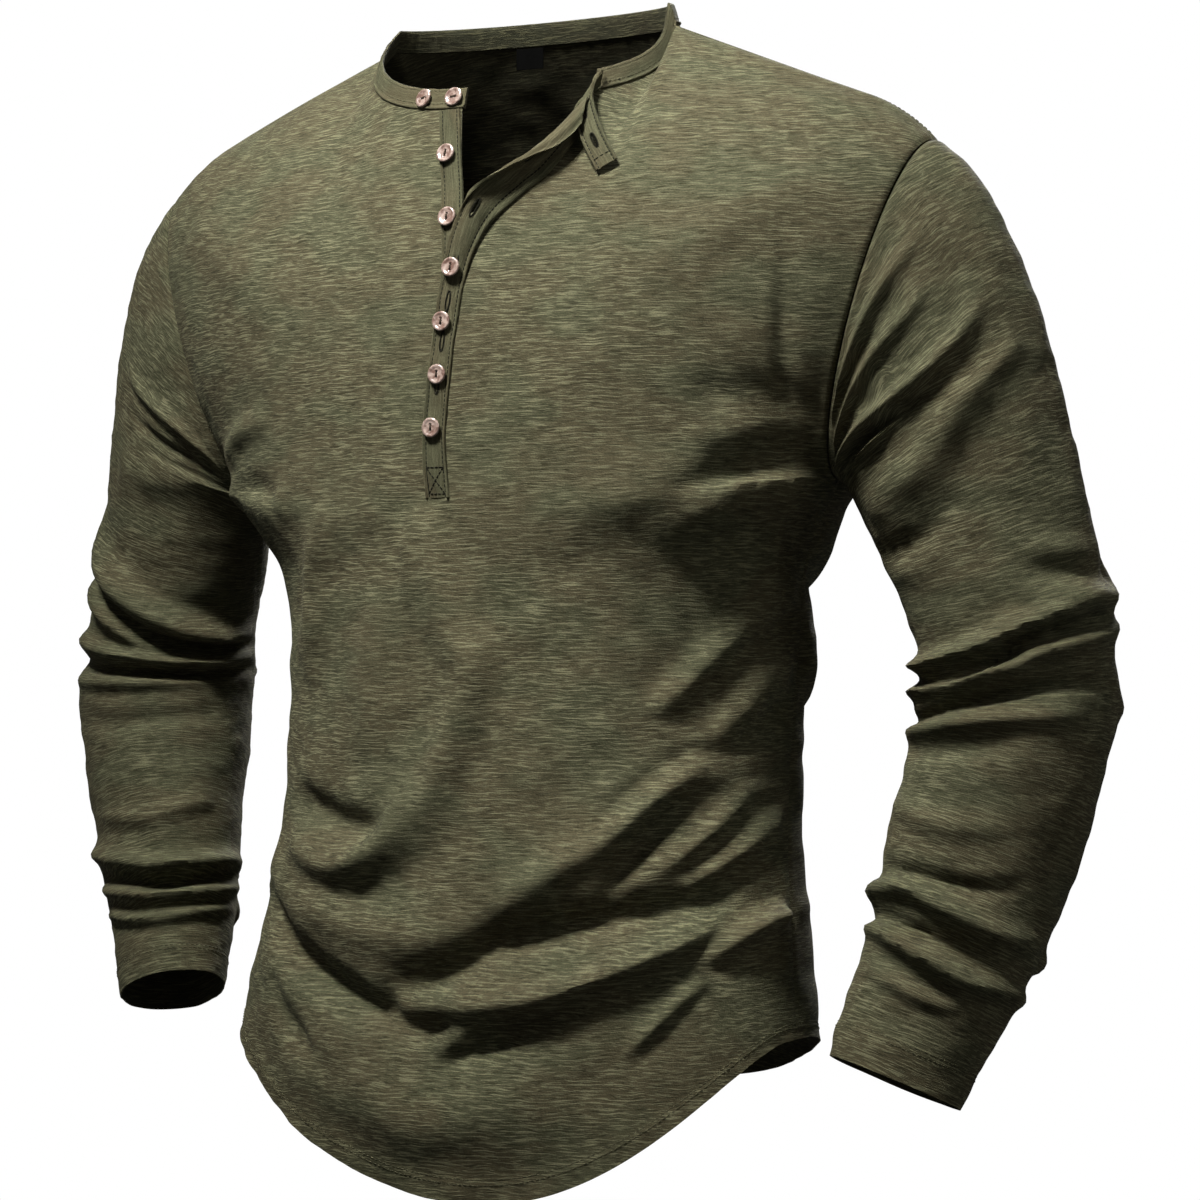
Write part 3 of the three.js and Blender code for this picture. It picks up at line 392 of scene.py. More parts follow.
class Sleeve(Surface):
    """A sleeve. s is the turn round it in degrees, 0 outside and 90 in front; t runs to the cuff."""

    def __init__(self, side: int, reach: float, creases: list[Crease], seed: int) -> None:
        """Takes 1 for the left or -1 for the right, how much longer it reaches, and its creases."""
        self.side, self.reach, self.creases, self.seed = side, reach, creases, seed
        self.columns = tracks(SLEEVE_SECTIONS)

    def ring(self, share: np.ndarray, turn: np.ndarray) -> np.ndarray:
        """A section at a share of the arm's length below the cap."""
        x, y, z, wide, narrow, rise_out, rise_back = (c(share * (len(SLEEVE_SECTIONS) - 1)) for c in self.columns)
        twisted, turned = np.radians(turn + SLEEVE_TWIST), np.radians(turn)
        radius = 1 / np.hypot(np.cos(twisted) / wide, np.sin(twisted) / narrow)
        out, back = radius * np.cos(turned), -radius * np.sin(turned)
        pull = self.reach * share * share
        return xyz(x + out - REACH_IN * pull, y + back, z + out * rise_out + back * rise_back - pull)

    def base(self, s: np.ndarray, t: np.ndarray) -> np.ndarray:
        """Points of the sleeve's plain form."""
        arm = self.ring(np.clip((t - SLEEVE_CAP) / (1 - SLEEVE_CAP), 0, 1), s)
        start, end = armhole(1, s), self.ring(np.zeros_like(s), s)
        gap = np.linalg.norm(start - end, axis=-1, keepdims=True) * CAP_PULL
        top = ((1 + np.cos(np.radians(s))) / 2)[..., None]
        leave = unit(mix(np.array([0.25, 0.08, -0.96]), np.array([0.88, 0.08, -0.5]), top))
        arrive = unit(self.ring(np.full_like(s, 0.02), s) - end)
        f = np.clip(t / SLEEVE_CAP, 0, 1)[..., None]
        f2, f3 = f * f, f * f * f
        cap = start * (2 * f3 - 3 * f2 + 1) + leave * (f3 - 2 * f2 + f) * gap
        cap = cap + end * (3 * f2 - 2 * f3) + arrive * (f3 - f2) * gap
        place = np.where((t >= SLEEVE_CAP)[..., None], arm, cap)
        return place * np.array([self.side, 1, 1])

    def outward(self, s: np.ndarray, t: np.ndarray) -> np.ndarray:
        """Directions out of the sleeve, from two short steps on it."""
        step_s = self.base(s + 0.7, t) - self.base(s - 0.7, t)
        step_t = self.base(s, np.minimum(t + 3e-3, 1)) - self.base(s, np.maximum(t - 3e-3, 0))
        return unit(np.cross(step_s, step_t)) * self.side

    def folds(self, s: np.ndarray, t: np.ndarray, plain: np.ndarray) -> np.ndarray:
        """The sleeve's creases, its uneven drape, its cuff and the dip of its seam."""
        around, down = (s % 360) * SLEEVE_ROUND, t * SLEEVE_LONG
        drape = np.zeros(s.shape)
        for lap in (-360, 0, 360):
            shifted = around + lap * SLEEVE_ROUND
            for crease in self.creases:
                drape += FOLD_GAIN * crease.lift(shifted, down)
        x, y, z = plain[..., 0], plain[..., 1], plain[..., 2]
        drape += 0.6 * ripple(x + y, z, 38, self.seed) + 0.25 * ripple(x - y, z, 14, self.seed + 1)
        drape *= ease(0, 0.04, t)
        cuff = (1 - t) * SLEEVE_LONG
        drape += 0.55 * (1 - ease(CUFF_STITCH - 1.5, CUFF_STITCH + 2.5, cuff))
        seam = t * SLEEVE_LONG
        return drape - 0.9 * np.exp(-((seam / 1.3) ** 2)) + 0.3 * np.exp(-(((seam - 4) / 2) ** 2))


PANEL_HALF, PANEL_TALL = 225, 580
SLEEVE_ROUND, SLEEVE_LONG = 0.87, 430
HEM_STITCH, CUFF_STITCH = 11.0, 19.0
SHELL = 0.9
FOLD_GAIN = 1.8

FRONT_CREASES = [
    # The long belly ridge and what goes with it
    Crease(((-6, -266), (11, -329), (22, -352), (11, -390), (-2, -422), (-27, -446), (-59, -453), (-104, -445)), 13, 5),
    Crease(((-8, -408), (-40, -452), (-75, -458), (-112, -442)), 9, 4),
    Crease(((-112, -420), (-62, -436), (-24, -438)), 10, -5),
    Crease(((-71, -264), (-85, -296), (-91, -328), (-96, -360)), 11, 3.5),
    Crease(((-30, -300), (-42, -350), (-38, -400)), 14, 2),
    # Folds that slant down from the near side
    Crease(((132, -398), (111, -417), (89, -442), (60, -463), (37, -479)), 10, 5.5),
    Crease(((132, -390), (98, -423), (79, -449)), 6, -3.5),
    Crease(((133, -411), (115, -436), (92, -473)), 6, -4),
    Crease(((158, -295), (144, -326), (132, -346), (112, -376)), 6, 3.5),
    Crease(((159, -315), (151, -336), (144, -368), (133, -391)), 5, 3),
    Crease(((161, -302), (153, -324), (144, -348)), 4, -3),
    Crease(((154, -342), (150, -374), (141, -398)), 4, -3),
    Crease(((146, -410), (138, -432), (118, -458)), 4, 2.5),
    Crease(((151, -424), (146, -446), (128, -468)), 4, 2.5),
    # The deep swags over the hem
    Crease(((-138, -474), (-104, -503), (-67, -521), (-31, -534), (-9, -539), (27, -536)), 10, -7),
    Crease(((-140, -452), (-110, -470), (-62, -486), (-10, -494), (30, -490)), 15, 4),
    Crease(((-31, -525), (7, -512), (41, -495), (85, -483), (139, -471), (155, -454)), 10, -7.5),
    Crease(((-23, -534), (65, -523), (106, -509), (154, -482), (157, -450)), 9, 8),
    Crease(((10, -558), (42, -546), (86, -524), (130, -502), (157, -470), (160, -447)), 5.5, -5.5),
    Crease(((27, -537), (7, -554)), 7, 3),
    Crease(((142, -505), (163, -474)), 4, 2.5),
    Crease(((108, -552), (143, -509)), 4, 2.5),
    Crease(((-90, -556), (0, -590), (90, -572)), 22, 5),
    Crease(((-120, -520), (-96, -548), (-58, -570)), 8, -3),
    # Drags from the armpits and the shoulders
    Crease(((185, -131), (184, -175), (180, -218)), 5, -2.5),
    Crease(((206, -208), (174, -234), (146, -264)), 15, -3.2),
    Crease(((196, -212), (170, -206), (138, -208)), 9, -1.2),
    Crease(((196, -226), (168, -226), (132, -232)), 8, 1.4),
    Crease(((188, -240), (160, -246), (126, -262)), 8, -1.9),
    Crease(((180, -252), (152, -262), (118, -284)), 8, 1.5),
    Crease(((168, -268), (148, -284), (128, -306)), 7, -1.5),
    Crease(((-176, -236), (-150, -220), (-118, -214)), 8, 2.5),
    Crease(((-168, -256), (-140, -250), (-112, -256)), 8, -2.5),
    Crease(((205, -96), (160, -118), (118, -150)), 16, 1.6),
    Crease(((-200, -98), (-156, -122), (-112, -156)), 16, 1.6),
    Crease(((-8, -262), (-14, -288), (-16, -318)), 6, 1.6),
    Crease(((10, -264), (16, -286), (20, -306)), 6, -1.4),
]
BACK_CREASES = [
    Crease(((-134, -372), (-60, -400), (30, -412), (120, -392)), 15, -5.5),
    Crease(((-128, -400), (-70, -430), (20, -446), (140, -424)), 14, 6),
    Crease(((-60, -432), (0, -452), (60, -448)), 8, 2.5),
    Crease(((-144, -446), (-80, -478), (0, -496), (110, -478)), 12, -6),
    Crease(((-120, -486), (-40, -518), (40, -522), (150, -490)), 11, 5.5),
    Crease(((-90, -520), (-20, -544), (70, -540)), 7, -3),
    Crease(((165, -262), (130, -296), (70, -330)), 11, 3.5),
    Crease(((160, -290), (132, -320), (96, -352)), 7, -2.5),
    Crease(((-165, -258), (-130, -290), (-80, -320)), 11, 3.5),
    Crease(((-158, -300), (-138, -330), (-104, -356)), 7, 2.5),
    Crease(((150, -330), (140, -360), (112, -384)), 6, 3),
    Crease(((-152, -346), (-142, -372), (-120, -392)), 6, 3),
    Crease(((188, -110), (150, -140), (104, -160)), 16, 1.6),
    Crease(((-188, -112), (-146, -138), (-100, -154)), 16, 1.6),
    Crease(((6, -120), (2, -190), (8, -260)), 22, -2),
]


def sleeve_creases(rows: list[tuple[tuple[Point, ...], float, float]]) -> list[Crease]:
    """Creases from lines of (turn in degrees, share of the sleeve's length)."""
    return [
        Crease(tuple((turn * SLEEVE_ROUND, down * SLEEVE_LONG) for turn, down in line), wide, high)
        for line, wide, high in rows
    ]


LEFT_CREASES = sleeve_creases(
    [
        (((130, 0.036), (90, 0.052), (76, 0.06), (54, 0.08)), 6, 3),
        (((140, 0.1), (102, 0.108), (80, 0.128), (58, 0.14)), 6, 3),
        (((150, 0.15), (98, 0.214), (72, 0.224), (50, 0.216), (34, 0.196)), 7, 4.5),
        (((140, 0.2), (104, 0.25), (70, 0.262)), 5, -3),
        (((140, 0.34), (92, 0.328), (70, 0.308), (46, 0.292), (18, 0.264)), 7, 3.5),
        (((132, 0.27), (90, 0.258)), 5, 2.5),
        (((150, 0.38), (110, 0.376), (76, 0.36)), 5, -2.5),
        (((52, 0.408), (2, 0.42)), 4, 2.5),
        (((62, 0.44), (-2, 0.452)), 4, 2.5),
        (((185, 0.5), (136, 0.5), (94, 0.488), (64, 0.472), (32, 0.462), (-20, 0.46), (-50, 0.458)), 5.5, 6.5),
        (((160, 0.535), (110, 0.532), (80, 0.504), (56, 0.484), (-20, 0.472)), 3.6, -4.5),
        (((195, 0.55), (140, 0.544), (74, 0.52), (52, 0.502), (-16, 0.486), (-45, 0.49)), 5.5, 5),
        (((175, 0.59), (138, 0.584), (96, 0.564), (42, 0.54), (-4, 0.548)), 4, -4),
        (((170, 0.61), (126, 0.604), (76, 0.584), (24, 0.572)), 4.5, 3),
        (((150, 0.64), (100, 0.628), (60, 0.61)), 6, -2),
        (((150, 0.7), (100, 0.716), (50, 0.7)), 6, 2),
        (((150, 0.775), (86, 0.77), (62, 0.766), (34, 0.752)), 3.6, -3),
        (((190, 0.8), (154, 0.796), (108, 0.786), (82, 0.792), (48, 0.798), (-6, 0.792)), 5, 5),
        (((170, 0.826), (122, 0.822), (78, 0.826), (30, 0.83)), 3.4, -3),
        (((160, 0.83), (122, 0.836), (78, 0.85), (48, 0.856), (6, 0.848), (-30, 0.85)), 5, 5),
        (((130, 0.88), (80, 0.892), (40, 0.89)), 4, 2.4),
        # The hidden back of the sleeve
        (((340, 0.44), (300, 0.452), (240, 0.49), (205, 0.5)), 6, 5),
        (((330, 0.49), (280, 0.505), (225, 0.54)), 5, 4),
        (((320, 0.465), (270, 0.482), (230, 0.512)), 4, -3.5),
        (((345, 0.56), (290, 0.58), (230, 0.6)), 6, 2.5),
        (((340, 0.8), (290, 0.815), (220, 0.8)), 5, 4.5),
        (((330, 0.85), (270, 0.862), (210, 0.84)), 5, 4),
        (((230, 0.12), (270, 0.16), (310, 0.15)), 7, 3),
        (((215, 0.22), (255, 0.26), (300, 0.24)), 7, 3),
    ]
)
RIGHT_CREASES = sleeve_creases(
    [
        (((60, 0.2), (88, 0.184), (134, 0.108)), 6, 3),
        (((70, 0.26), (104, 0.24), (140, 0.18)), 6, -2),
        (((60, 0.33), (110, 0.31), (150, 0.26)), 7, 2.5),
        (((10, 0.38), (36, 0.4), (90, 0.43), (144, 0.46), (192, 0.468)), 6.5, 6.5),
        (((20, 0.43), (46, 0.44), (90, 0.468), (124, 0.492)), 5.5, 4),
        (((30, 0.415), (80, 0.45), (120, 0.474), (148, 0.478), (210, 0.482)), 3.6, -4.5),
        (((10, 0.49), (38, 0.496), (124, 0.508), (196, 0.496)), 5.5, 5),
        (((20, 0.52), (80, 0.532), (150, 0.53), (205, 0.515)), 4, -3.5),
        (((30, 0.55), (90, 0.556), (150, 0.55)), 5, 2.5),
        (((40, 0.6), (100, 0.62), (160, 0.6)), 7, -1.6),
        (((10, 0.765), (32, 0.772), (90, 0.81), (124, 0.824), (212, 0.8)), 5.5, 5),
        (((30, 0.8), (90, 0.838), (128, 0.85), (190, 0.826)), 3.6, -3.5),
        (((40, 0.82), (62, 0.84), (128, 0.872), (212, 0.83)), 5, 4.5),
        (((34, 0.86), (114, 0.905), (200, 0.87)), 4, 3),
        (((60, 0.74), (110, 0.76), (160, 0.74)), 5, 2),
        # The hidden back of the sleeve
        (((345, 0.44), (290, 0.46), (230, 0.49)), 6, 5),
        (((335, 0.5), (280, 0.515), (220, 0.53)), 5, 4),
        (((330, 0.47), (280, 0.486), (230, 0.51)), 4, -3.5),
        (((340, 0.79), (290, 0.81), (225, 0.8)), 5, 4.5),
        (((330, 0.85), (270, 0.865), (215, 0.85)), 5, 4),
        (((225, 0.14), (265, 0.18), (305, 0.17)), 7, 3),
    ]
)


# ---- Meshes ------------------------------------------------------------------------------------


def new_object(name: str, points: np.ndarray, faces: list, courses: np.ndarray | None = None) -> bpy.types.Object:
    """A smooth object in the scene.

    Args:
        name: the piece's name.
        points: its corners in millimetres, one row each.
        faces: for each face, the numbers of its corners.
        courses: for each corner, its place on the cloth in millimetres, across and along.
    """
    mesh = bpy.data.meshes.new(name)
    mesh.from_pydata((np.asarray(points, float) * MM).tolist(), [], [list(map(int, face)) for face in faces])
    mesh.polygons.foreach_set("use_smooth", [True] * len(mesh.polygons))
    if courses is not None:
        corners = np.empty(len(mesh.loops), int)
        mesh.loops.foreach_get("vertex_index", corners)
        layer = mesh.uv_layers.new(name="courses")
        layer.data.foreach_set("uv", (courses[corners] * MM).astype(np.float32).ravel())
    mesh.update()
    thing = bpy.data.objects.new(name, mesh)
    bpy.context.scene.collection.objects.link(thing)
    return thing


def facing_out(thing: bpy.types.Object) -> bpy.types.Object:
    """Turns every face of a closed mesh to point out."""
    work = bmesh.new()
    work.from_mesh(thing.data)
    bmesh.ops.recalc_face_normals(work, faces=work.faces)
    work.to_mesh(thing.data)
    work.free()
    thing.data.set_sharp_from_angle(angle=math.radians(70))
    return thing


def inside_out(thing: bpy.types.Object, faces: np.ndarray) -> bpy.types.Object:
    """Gives the numbered faces the cloth's wrong side, which is the second finish."""
    side = np.zeros(len(thing.data.polygons), np.int32)
    side[faces] = 1
    for finish in (None, None):
        thing.data.materials.append(finish)
    thing.data.polygons.foreach_set("material_index", side)
    return thing


def shell(name: str, outer: np.ndarray, out: np.ndarray, thick: float, courses: np.ndarray) -> bpy.types.Object:
    """A closed thin wall from a grid of outer points.

    Args:
        name: the piece's name.
        outer: the grid of outer points, rows first.
        out: the direction out at each point.
        thick: the cloth's thickness in millimetres.
        courses: each point's place on the cloth.
    """
    rows, columns = outer.shape[:2]
    count = rows * columns
    ids = np.arange(count).reshape(rows, columns)
    a, b, c, d = ids[:-1, :-1], ids[:-1, 1:], ids[1:, 1:], ids[1:, :-1]
    face = np.stack([a, b, c, d], -1).reshape(-1, 4)
    back = np.stack([a, d, c, b], -1).reshape(-1, 4) + count
    rim = np.concatenate([ids[0, :], ids[1:, -1], ids[-1, -2::-1], ids[-2:0:-1, 0]])
    after = np.roll(rim, -1)
    sides = np.stack([after, rim, rim + count, after + count], -1)
    points = np.concatenate([outer.reshape(-1, 3), (outer - out * thick).reshape(-1, 3)])
    places = np.concatenate([courses.reshape(-1, 2)] * 2)
    thing = new_object(name, points, np.concatenate([face, back, sides]).tolist(), places)
    return facing_out(inside_out(thing, np.arange(len(face), 2 * len(face))))


def tube(name: str, outer: np.ndarray, out: np.ndarray, thick: float, courses: np.ndarray) -> bpy.types.Object:
    """A closed thin wall that runs round, from a grid whose last column meets its first."""
    rows, columns = outer.shape[:2]
    n = columns - 1
    ids = np.arange(rows * n).reshape(rows, n)
    right = np.roll(ids, -1, axis=1)
    count = rows * n
    a, b, c, d = ids[:-1], right[:-1], right[1:], ids[1:]
    face = np.stack([a, b, c, d], -1).reshape(-1, 4)
    back = np.stack([a, d, c, b], -1).reshape(-1, 4) + count
    top = np.stack([right[0], ids[0], ids[0] + count, right[0] + count], -1)
    foot = np.stack([ids[-1], right[-1], right[-1] + count, ids[-1] + count], -1)
    points = np.concatenate([outer[:, :n].reshape(-1, 3), (outer - out * thick)[:, :n].reshape(-1, 3)])
    faces = np.concatenate([face, back, top, foot])
    thing = facing_out(inside_out(new_object(name, points, faces.tolist()), np.arange(len(face), 2 * len(face))))
    corners = np.empty(len(thing.data.loops), int)
    thing.data.loops.foreach_get("vertex_index", corners)
    starts = np.empty(len(thing.data.polygons), int)
    thing.data.polygons.foreach_get("loop_start", starts)
    sizes = np.empty(len(thing.data.polygons), int)
    thing.data.polygons.foreach_get("loop_total", sizes)
    row, column = (corners % count) // n, (corners % count) % n
    of_face = np.repeat(np.arange(len(starts)), sizes)
    last = np.zeros(len(starts), bool)
    np.maximum.at(last, of_face, column == n - 1)
    column = np.where(last[of_face] & (column == 0), n, column)
    layer = thing.data.uv_layers.new(name="courses")
    layer.data.foreach_set("uv", (courses[row, column] * MM).astype(np.float32).ravel())
    return thing


def grid_out(grid: np.ndarray, towards: np.ndarray) -> np.ndarray:
    """Directions out of a free grid, all on the side that a direction names."""
    out = unit(np.cross(np.gradient(grid, axis=1), np.gradient(grid, axis=0)))
    middle = out[out.shape[0] // 2, out.shape[1] // 2]
    return out if float(middle @ towards) > 0 else -out


def grid_courses(grid: np.ndarray) -> np.ndarray:
    """The place on the cloth of each point of a grid, from the lengths along its rows."""
    across = np.linalg.norm(np.diff(grid, axis=1), axis=-1)
    along = np.linalg.norm(np.diff(grid, axis=0), axis=-1)
    u = np.concatenate([np.zeros((grid.shape[0], 1)), np.cumsum(across, axis=1)], axis=1)
    v = np.concatenate([np.zeros((1, grid.shape[1])), np.cumsum(along, axis=0)], axis=0)
    return np.stack([u - u[:, grid.shape[1] // 2][:, None], v], -1)


def cut_with(thing: bpy.types.Object, cutter: bpy.types.Object) -> None:
    """Takes the cutter's space out of a piece and deletes the cutter."""
    trim = thing.modifiers.new("cut", "BOOLEAN")
    trim.operation, trim.solver, trim.object = "DIFFERENCE", "EXACT", cutter
    graph = bpy.context.evaluated_depsgraph_get()
    mesh = bpy.data.meshes.new_from_object(thing.evaluated_get(graph))
    thing.modifiers.remove(trim)
    old = thing.data
    thing.data = mesh
    mesh.name = old.name
    bpy.data.meshes.remove(old)
    bpy.data.objects.remove(cutter)


@dataclass(frozen=True)
class StitchRow:
    """A row of machine stitches on a face: each is a short arched thread."""

    path: np.ndarray
    out: np.ndarray
    pitch: float = 3.0
    length: float = 2.3
    radius: float = 0.26
    slant: float = 0.0

    def parts(self, start: int) -> tuple[np.ndarray, list[list[int]]]:
        """The row's corners, and its faces numbered from start."""
        steps = np.linalg.norm(np.diff(self.path, axis=0), axis=1)
        run = np.concatenate([[0], np.cumsum(steps)])
        count = max(int(run[-1] / self.pitch), 1)
        centres = (np.arange(count) + 0.5) * run[-1] / count
        sample = lambda at: np.stack([np.interp(at, run, self.path[:, k]) for k in range(3)], -1)
        middle = sample(centres)
        out = unit(np.stack([np.interp(centres, run, self.out[:, k]) for k in range(3)], -1))
        ahead = unit(sample(centres + 0.4) - sample(centres - 0.4))
        side = unit(np.cross(ahead, out))
        ahead = unit(ahead + side * self.slant)
        side = unit(np.cross(ahead, out))
        rings, around = [(-0.5, 0.25, -0.25), (-0.28, 1, 0.1), (0.28, 1, 0.1), (0.5, 0.25, -0.25)], 6
        corners = []
        for share, size, rise in rings:
            for k in range(around):
                turn = 2 * math.pi * k / around
                corners.append(
                    middle
                    + ahead * (share * self.length)
                    + side * (self.radius * size * math.cos(turn))
                    + out * (self.radius * (size * math.sin(turn) * 0.8 + rise))
                )
        points = np.stack(corners, 1).reshape(-1, 3)
        faces = []
        for s in range(count):
            first = start + s * len(rings) * around
            for r in range(len(rings) - 1):
                for k in range(around):
                    a, b = first + r * around + k, first + r * around + (k + 1) % around
                    faces.append([a, b, b + around, a + around])
            faces.append([first + k for k in reversed(range(around))])
            faces.append([first + (len(rings) - 1) * around + k for k in range(around)])
        return points, faces


def stitching(name: str, rows: list[StitchRow]) -> bpy.types.Object:
    """One object with all the stitches of some rows."""
    points, faces, count = [], [], 0
    for row in rows:
        corners, sides = row.parts(count)
        points.append(corners)
        faces.extend(sides)
        count += len(corners)
    return facing_out(new_object(name, np.concatenate(points), faces))


# ---- Finishes ----------------------------------------------------------------------------------


def linear(colour: str) -> tuple[float, float, float, float]:
    """An sRGB hex colour as Blender's linear one."""
    parts = [int(colour[i : i + 2], 16) / 255 for i in (0, 2, 4)]
    r, g, b = (c / 12.92 if c <= 0.04045 else ((c + 0.055) / 1.055) ** 2.4 for c in parts)
    return (r, g, b, 1.0)


def add_node(tree: bpy.types.NodeTree, kind: str, links: dict | None = None, **settings: object) -> bpy.types.Node:
    """Adds one node to a material.

    Args:
        tree: the material's nodes.
        kind: Blender's name for the node.
        links: for each input, by name or number, the socket that feeds it or its own value.
        settings: the node's own settings.

    Returns:
        The new node.
    """
    node = tree.nodes.new(kind)
    for name, value in settings.items():
        setattr(node, name, value)
    for key, value in (links or {}).items():
        socket = node.inputs[key]
        if isinstance(value, bpy.types.NodeSocket):
            tree.links.new(value, socket)
        else:
            socket.default_value = value
    return node


def new_material(name: str) -> tuple[bpy.types.Material, bpy.types.NodeTree, bpy.types.Node]:
    """A material with a bare shader: the material, its nodes and its shader."""
    material = bpy.data.materials.new(name)
    material.use_nodes = True
    tree = material.node_tree
    tree.nodes.clear()
    shader = add_node(tree, "ShaderNodeBsdfPrincipled")
    add_node(tree, "ShaderNodeOutputMaterial", {"Surface": shader.outputs[0]})
    return material, tree, shader


def scaled(tree: bpy.types.NodeTree, source: bpy.types.NodeSocket, across: float, along: float) -> bpy.types.NodeSocket:
    """The cloth's place, so that a pattern repeats at about these sizes in millimetres."""
    scale = (1 / (across * MM), 1 / (along * MM), 1.0)
    return add_node(tree, "ShaderNodeMapping", {"Vector": source, "Scale": scale}).outputs[0]


def shaped(tree: bpy.types.NodeTree, value: bpy.types.NodeSocket, low: float, high: float, to: float) -> bpy.types.NodeSocket:
    """A value that rises smoothly from 0 to a top between two levels of its source."""
    return add_node(
        tree,
        "ShaderNodeMapRange",
        {"Value": value, "From Min": low, "From Max": high, "To Min": 0.0, "To Max": to},
        interpolation_type="SMOOTHSTEP",
    ).outputs[0]


def blended(tree: bpy.types.NodeTree, share: object, a: object, b: object, kind: str = "MIX") -> bpy.types.NodeSocket:
    """Two colours mixed by a share."""
    node = add_node(tree, "ShaderNodeMix", data_type="RGBA", blend_type=kind)
    for socket, value in ((node.inputs[0], share), (node.inputs[6], a), (node.inputs[7], b)):
        if isinstance(value, bpy.types.NodeSocket):
            tree.links.new(value, socket)
        else:
            socket.default_value = value
    return node.outputs[2]


@dataclass(frozen=True)
class SlubJersey:
    """Slub cotton single jersey, garment dyed: matt, with thick and thin yarn along its courses.

    The yarn's slubs catch the light as thin pale streaks and leave dark ones between. The dye
    sits unevenly, so the ground drifts between a grey green and a brown olive. A course of the
    real knit is about 0.6 mm, too fine to show, so the streaks are drawn about 1 mm apart.
    """

    name: str
    ground: str = "393726"
    brown: str = "3c3525"
    grey: str = "373928"
    pale: str = "605e47"
    dark: str = "1d1b0f"
    slub_strength: float = 1.0

    def build(self) -> bpy.types.Material:
        """Makes the material."""
        material, tree, shader = new_material(self.name)
        place = add_node(tree, "ShaderNodeUVMap", uv_map="courses").outputs[0]
        drift = add_node(
            tree, "ShaderNodeTexNoise", {"Vector": scaled(tree, place, 60, 34), "Scale": 1.0, "Detail": 2.0},
            noise_dimensions="2D",
        ).outputs[0]
        wander = add_node(
            tree, "ShaderNodeTexNoise", {"Vector": scaled(tree, place, 22, 16), "Scale": 1.0, "Detail": 1.0},
            noise_dimensions="2D",
        ).outputs[1]
        bent = add_node(
            tree,
            "ShaderNodeVectorMath",
            {0: wander, 1: (0.0, 2.2 * MM, 0.0), 2: place},
            operation="MULTIPLY_ADD",
        ).outputs[0]
        streak = lambda across, along, detail: add_node(
            tree,
            "ShaderNodeTexNoise",
            {"Vector": scaled(tree, bent, across, along), "Scale": 1.0, "Detail": detail, "Roughness": 0.6},
            noise_dimensions="2D",
        ).outputs[0]
        long_slub, short_slub, thin_yarn = streak(17, 1.05, 2.0), streak(7, 0.8, 1.0), streak(12, 0.95, 2.0)
        fleck = add_node(
            tree,
            "ShaderNodeTexNoise",
            {"Vector": scaled(tree, place, 1.1, 0.7), "Scale": 1.0, "Detail": 2.0, "Roughness": 0.7},
            noise_dimensions="2D",
        ).outputs[0]
        where = add_node(
            tree, "ShaderNodeTexNoise", {"Vector": scaled(tree, place, 90, 70), "Scale": 1.0, "Detail": 1.0},
            noise_dimensions="2D",
        ).outputs[0]
        often = shaped(tree, where, 0.3, 0.6, 1.0)
        pale_long = shaped(tree, long_slub, 0.5, 0.7, 0.85 * self.slub_strength)
        pale_short = shaped(tree, short_slub, 0.55, 0.75, 0.6 * self.slub_strength)
        slub = add_node(tree, "ShaderNodeMath", {0: pale_long, 1: pale_short}, operation="MAXIMUM").outputs[0]
        patchy = add_node(tree, "ShaderNodeMapRange", {"Value": often, "To Min": 0.65, "To Max": 1.0}).outputs[0]
        slub = add_node(tree, "ShaderNodeMath", {0: slub, 1: patchy}, operation="MULTIPLY").outputs[0]
        thin = shaped(tree, thin_yarn, 0.5, 0.32, 0.7 * self.slub_strength)
        ground = blended(tree, shaped(tree, drift, 0.35, 0.6, 1.0), linear(self.grey), linear(self.brown))
        ground = blended(tree, 0.5, ground, linear(self.ground))
        colour = blended(tree, thin, ground, linear(self.dark))
        colour = blended(tree, slub, colour, linear(self.pale))
        speck = add_node(tree, "ShaderNodeMapRange", {"Value": fleck, "From Min": 0.3, "From Max": 0.7, "To Min": 0.8,
                                                      "To Max": 1.2}).outputs[0]
        level = add_node(tree, "ShaderNodeCombineColor", {0: speck, 1: speck, 2: speck}).outputs[0]
        colour = blended(tree, 1.0, colour, level, "MULTIPLY")
        tree.links.new(colour, shader.inputs["Base Color"])
        height = add_node(tree, "ShaderNodeMath", {0: slub, 1: 0.9, 2: fleck}, operation="MULTIPLY_ADD").outputs[0]
        bump = add_node(tree, "ShaderNodeBump", {"Height": height, "Strength": 0.6, "Distance": 0.35 * MM})
        tree.links.new(bump.outputs[0], shader.inputs["Normal"])
        shader.inputs["Roughness"].default_value = 0.92
        shader.inputs["Specular IOR Level"].default_value = 0.12
        shader.inputs["Sheen Weight"].default_value = 0.015
        shader.inputs["Sheen Roughness"].default_value = 0.6
        shader.inputs["Sheen Tint"].default_value = linear("b9b79a")
        return material


@dataclass(frozen=True)
class SpunThread:
    """Spun polyester sewing thread, two-ply and dyed to the cloth: a soft gleam on each stitch."""

    name: str = "spun_polyester_thread"
    colour: str = "4f4d39"
    shade: str = "1d1c11"

    def build(self) -> bpy.types.Material:
        """Makes the material."""
        material, tree, shader = new_material(self.name)
        place = add_node(tree, "ShaderNodeTexCoord").outputs["Object"]
        ply = add_node(tree, "ShaderNodeTexNoise", {"Vector": place, "Scale": 1 / (0.5 * MM)}).outputs[0]
        colour = blended(tree, ply, linear(self.shade), linear(self.colour))
        tree.links.new(colour, shader.inputs["Base Color"])
        shader.inputs["Roughness"].default_value = 0.85
        shader.inputs["Specular IOR Level"].default_value = 0.08
        return material


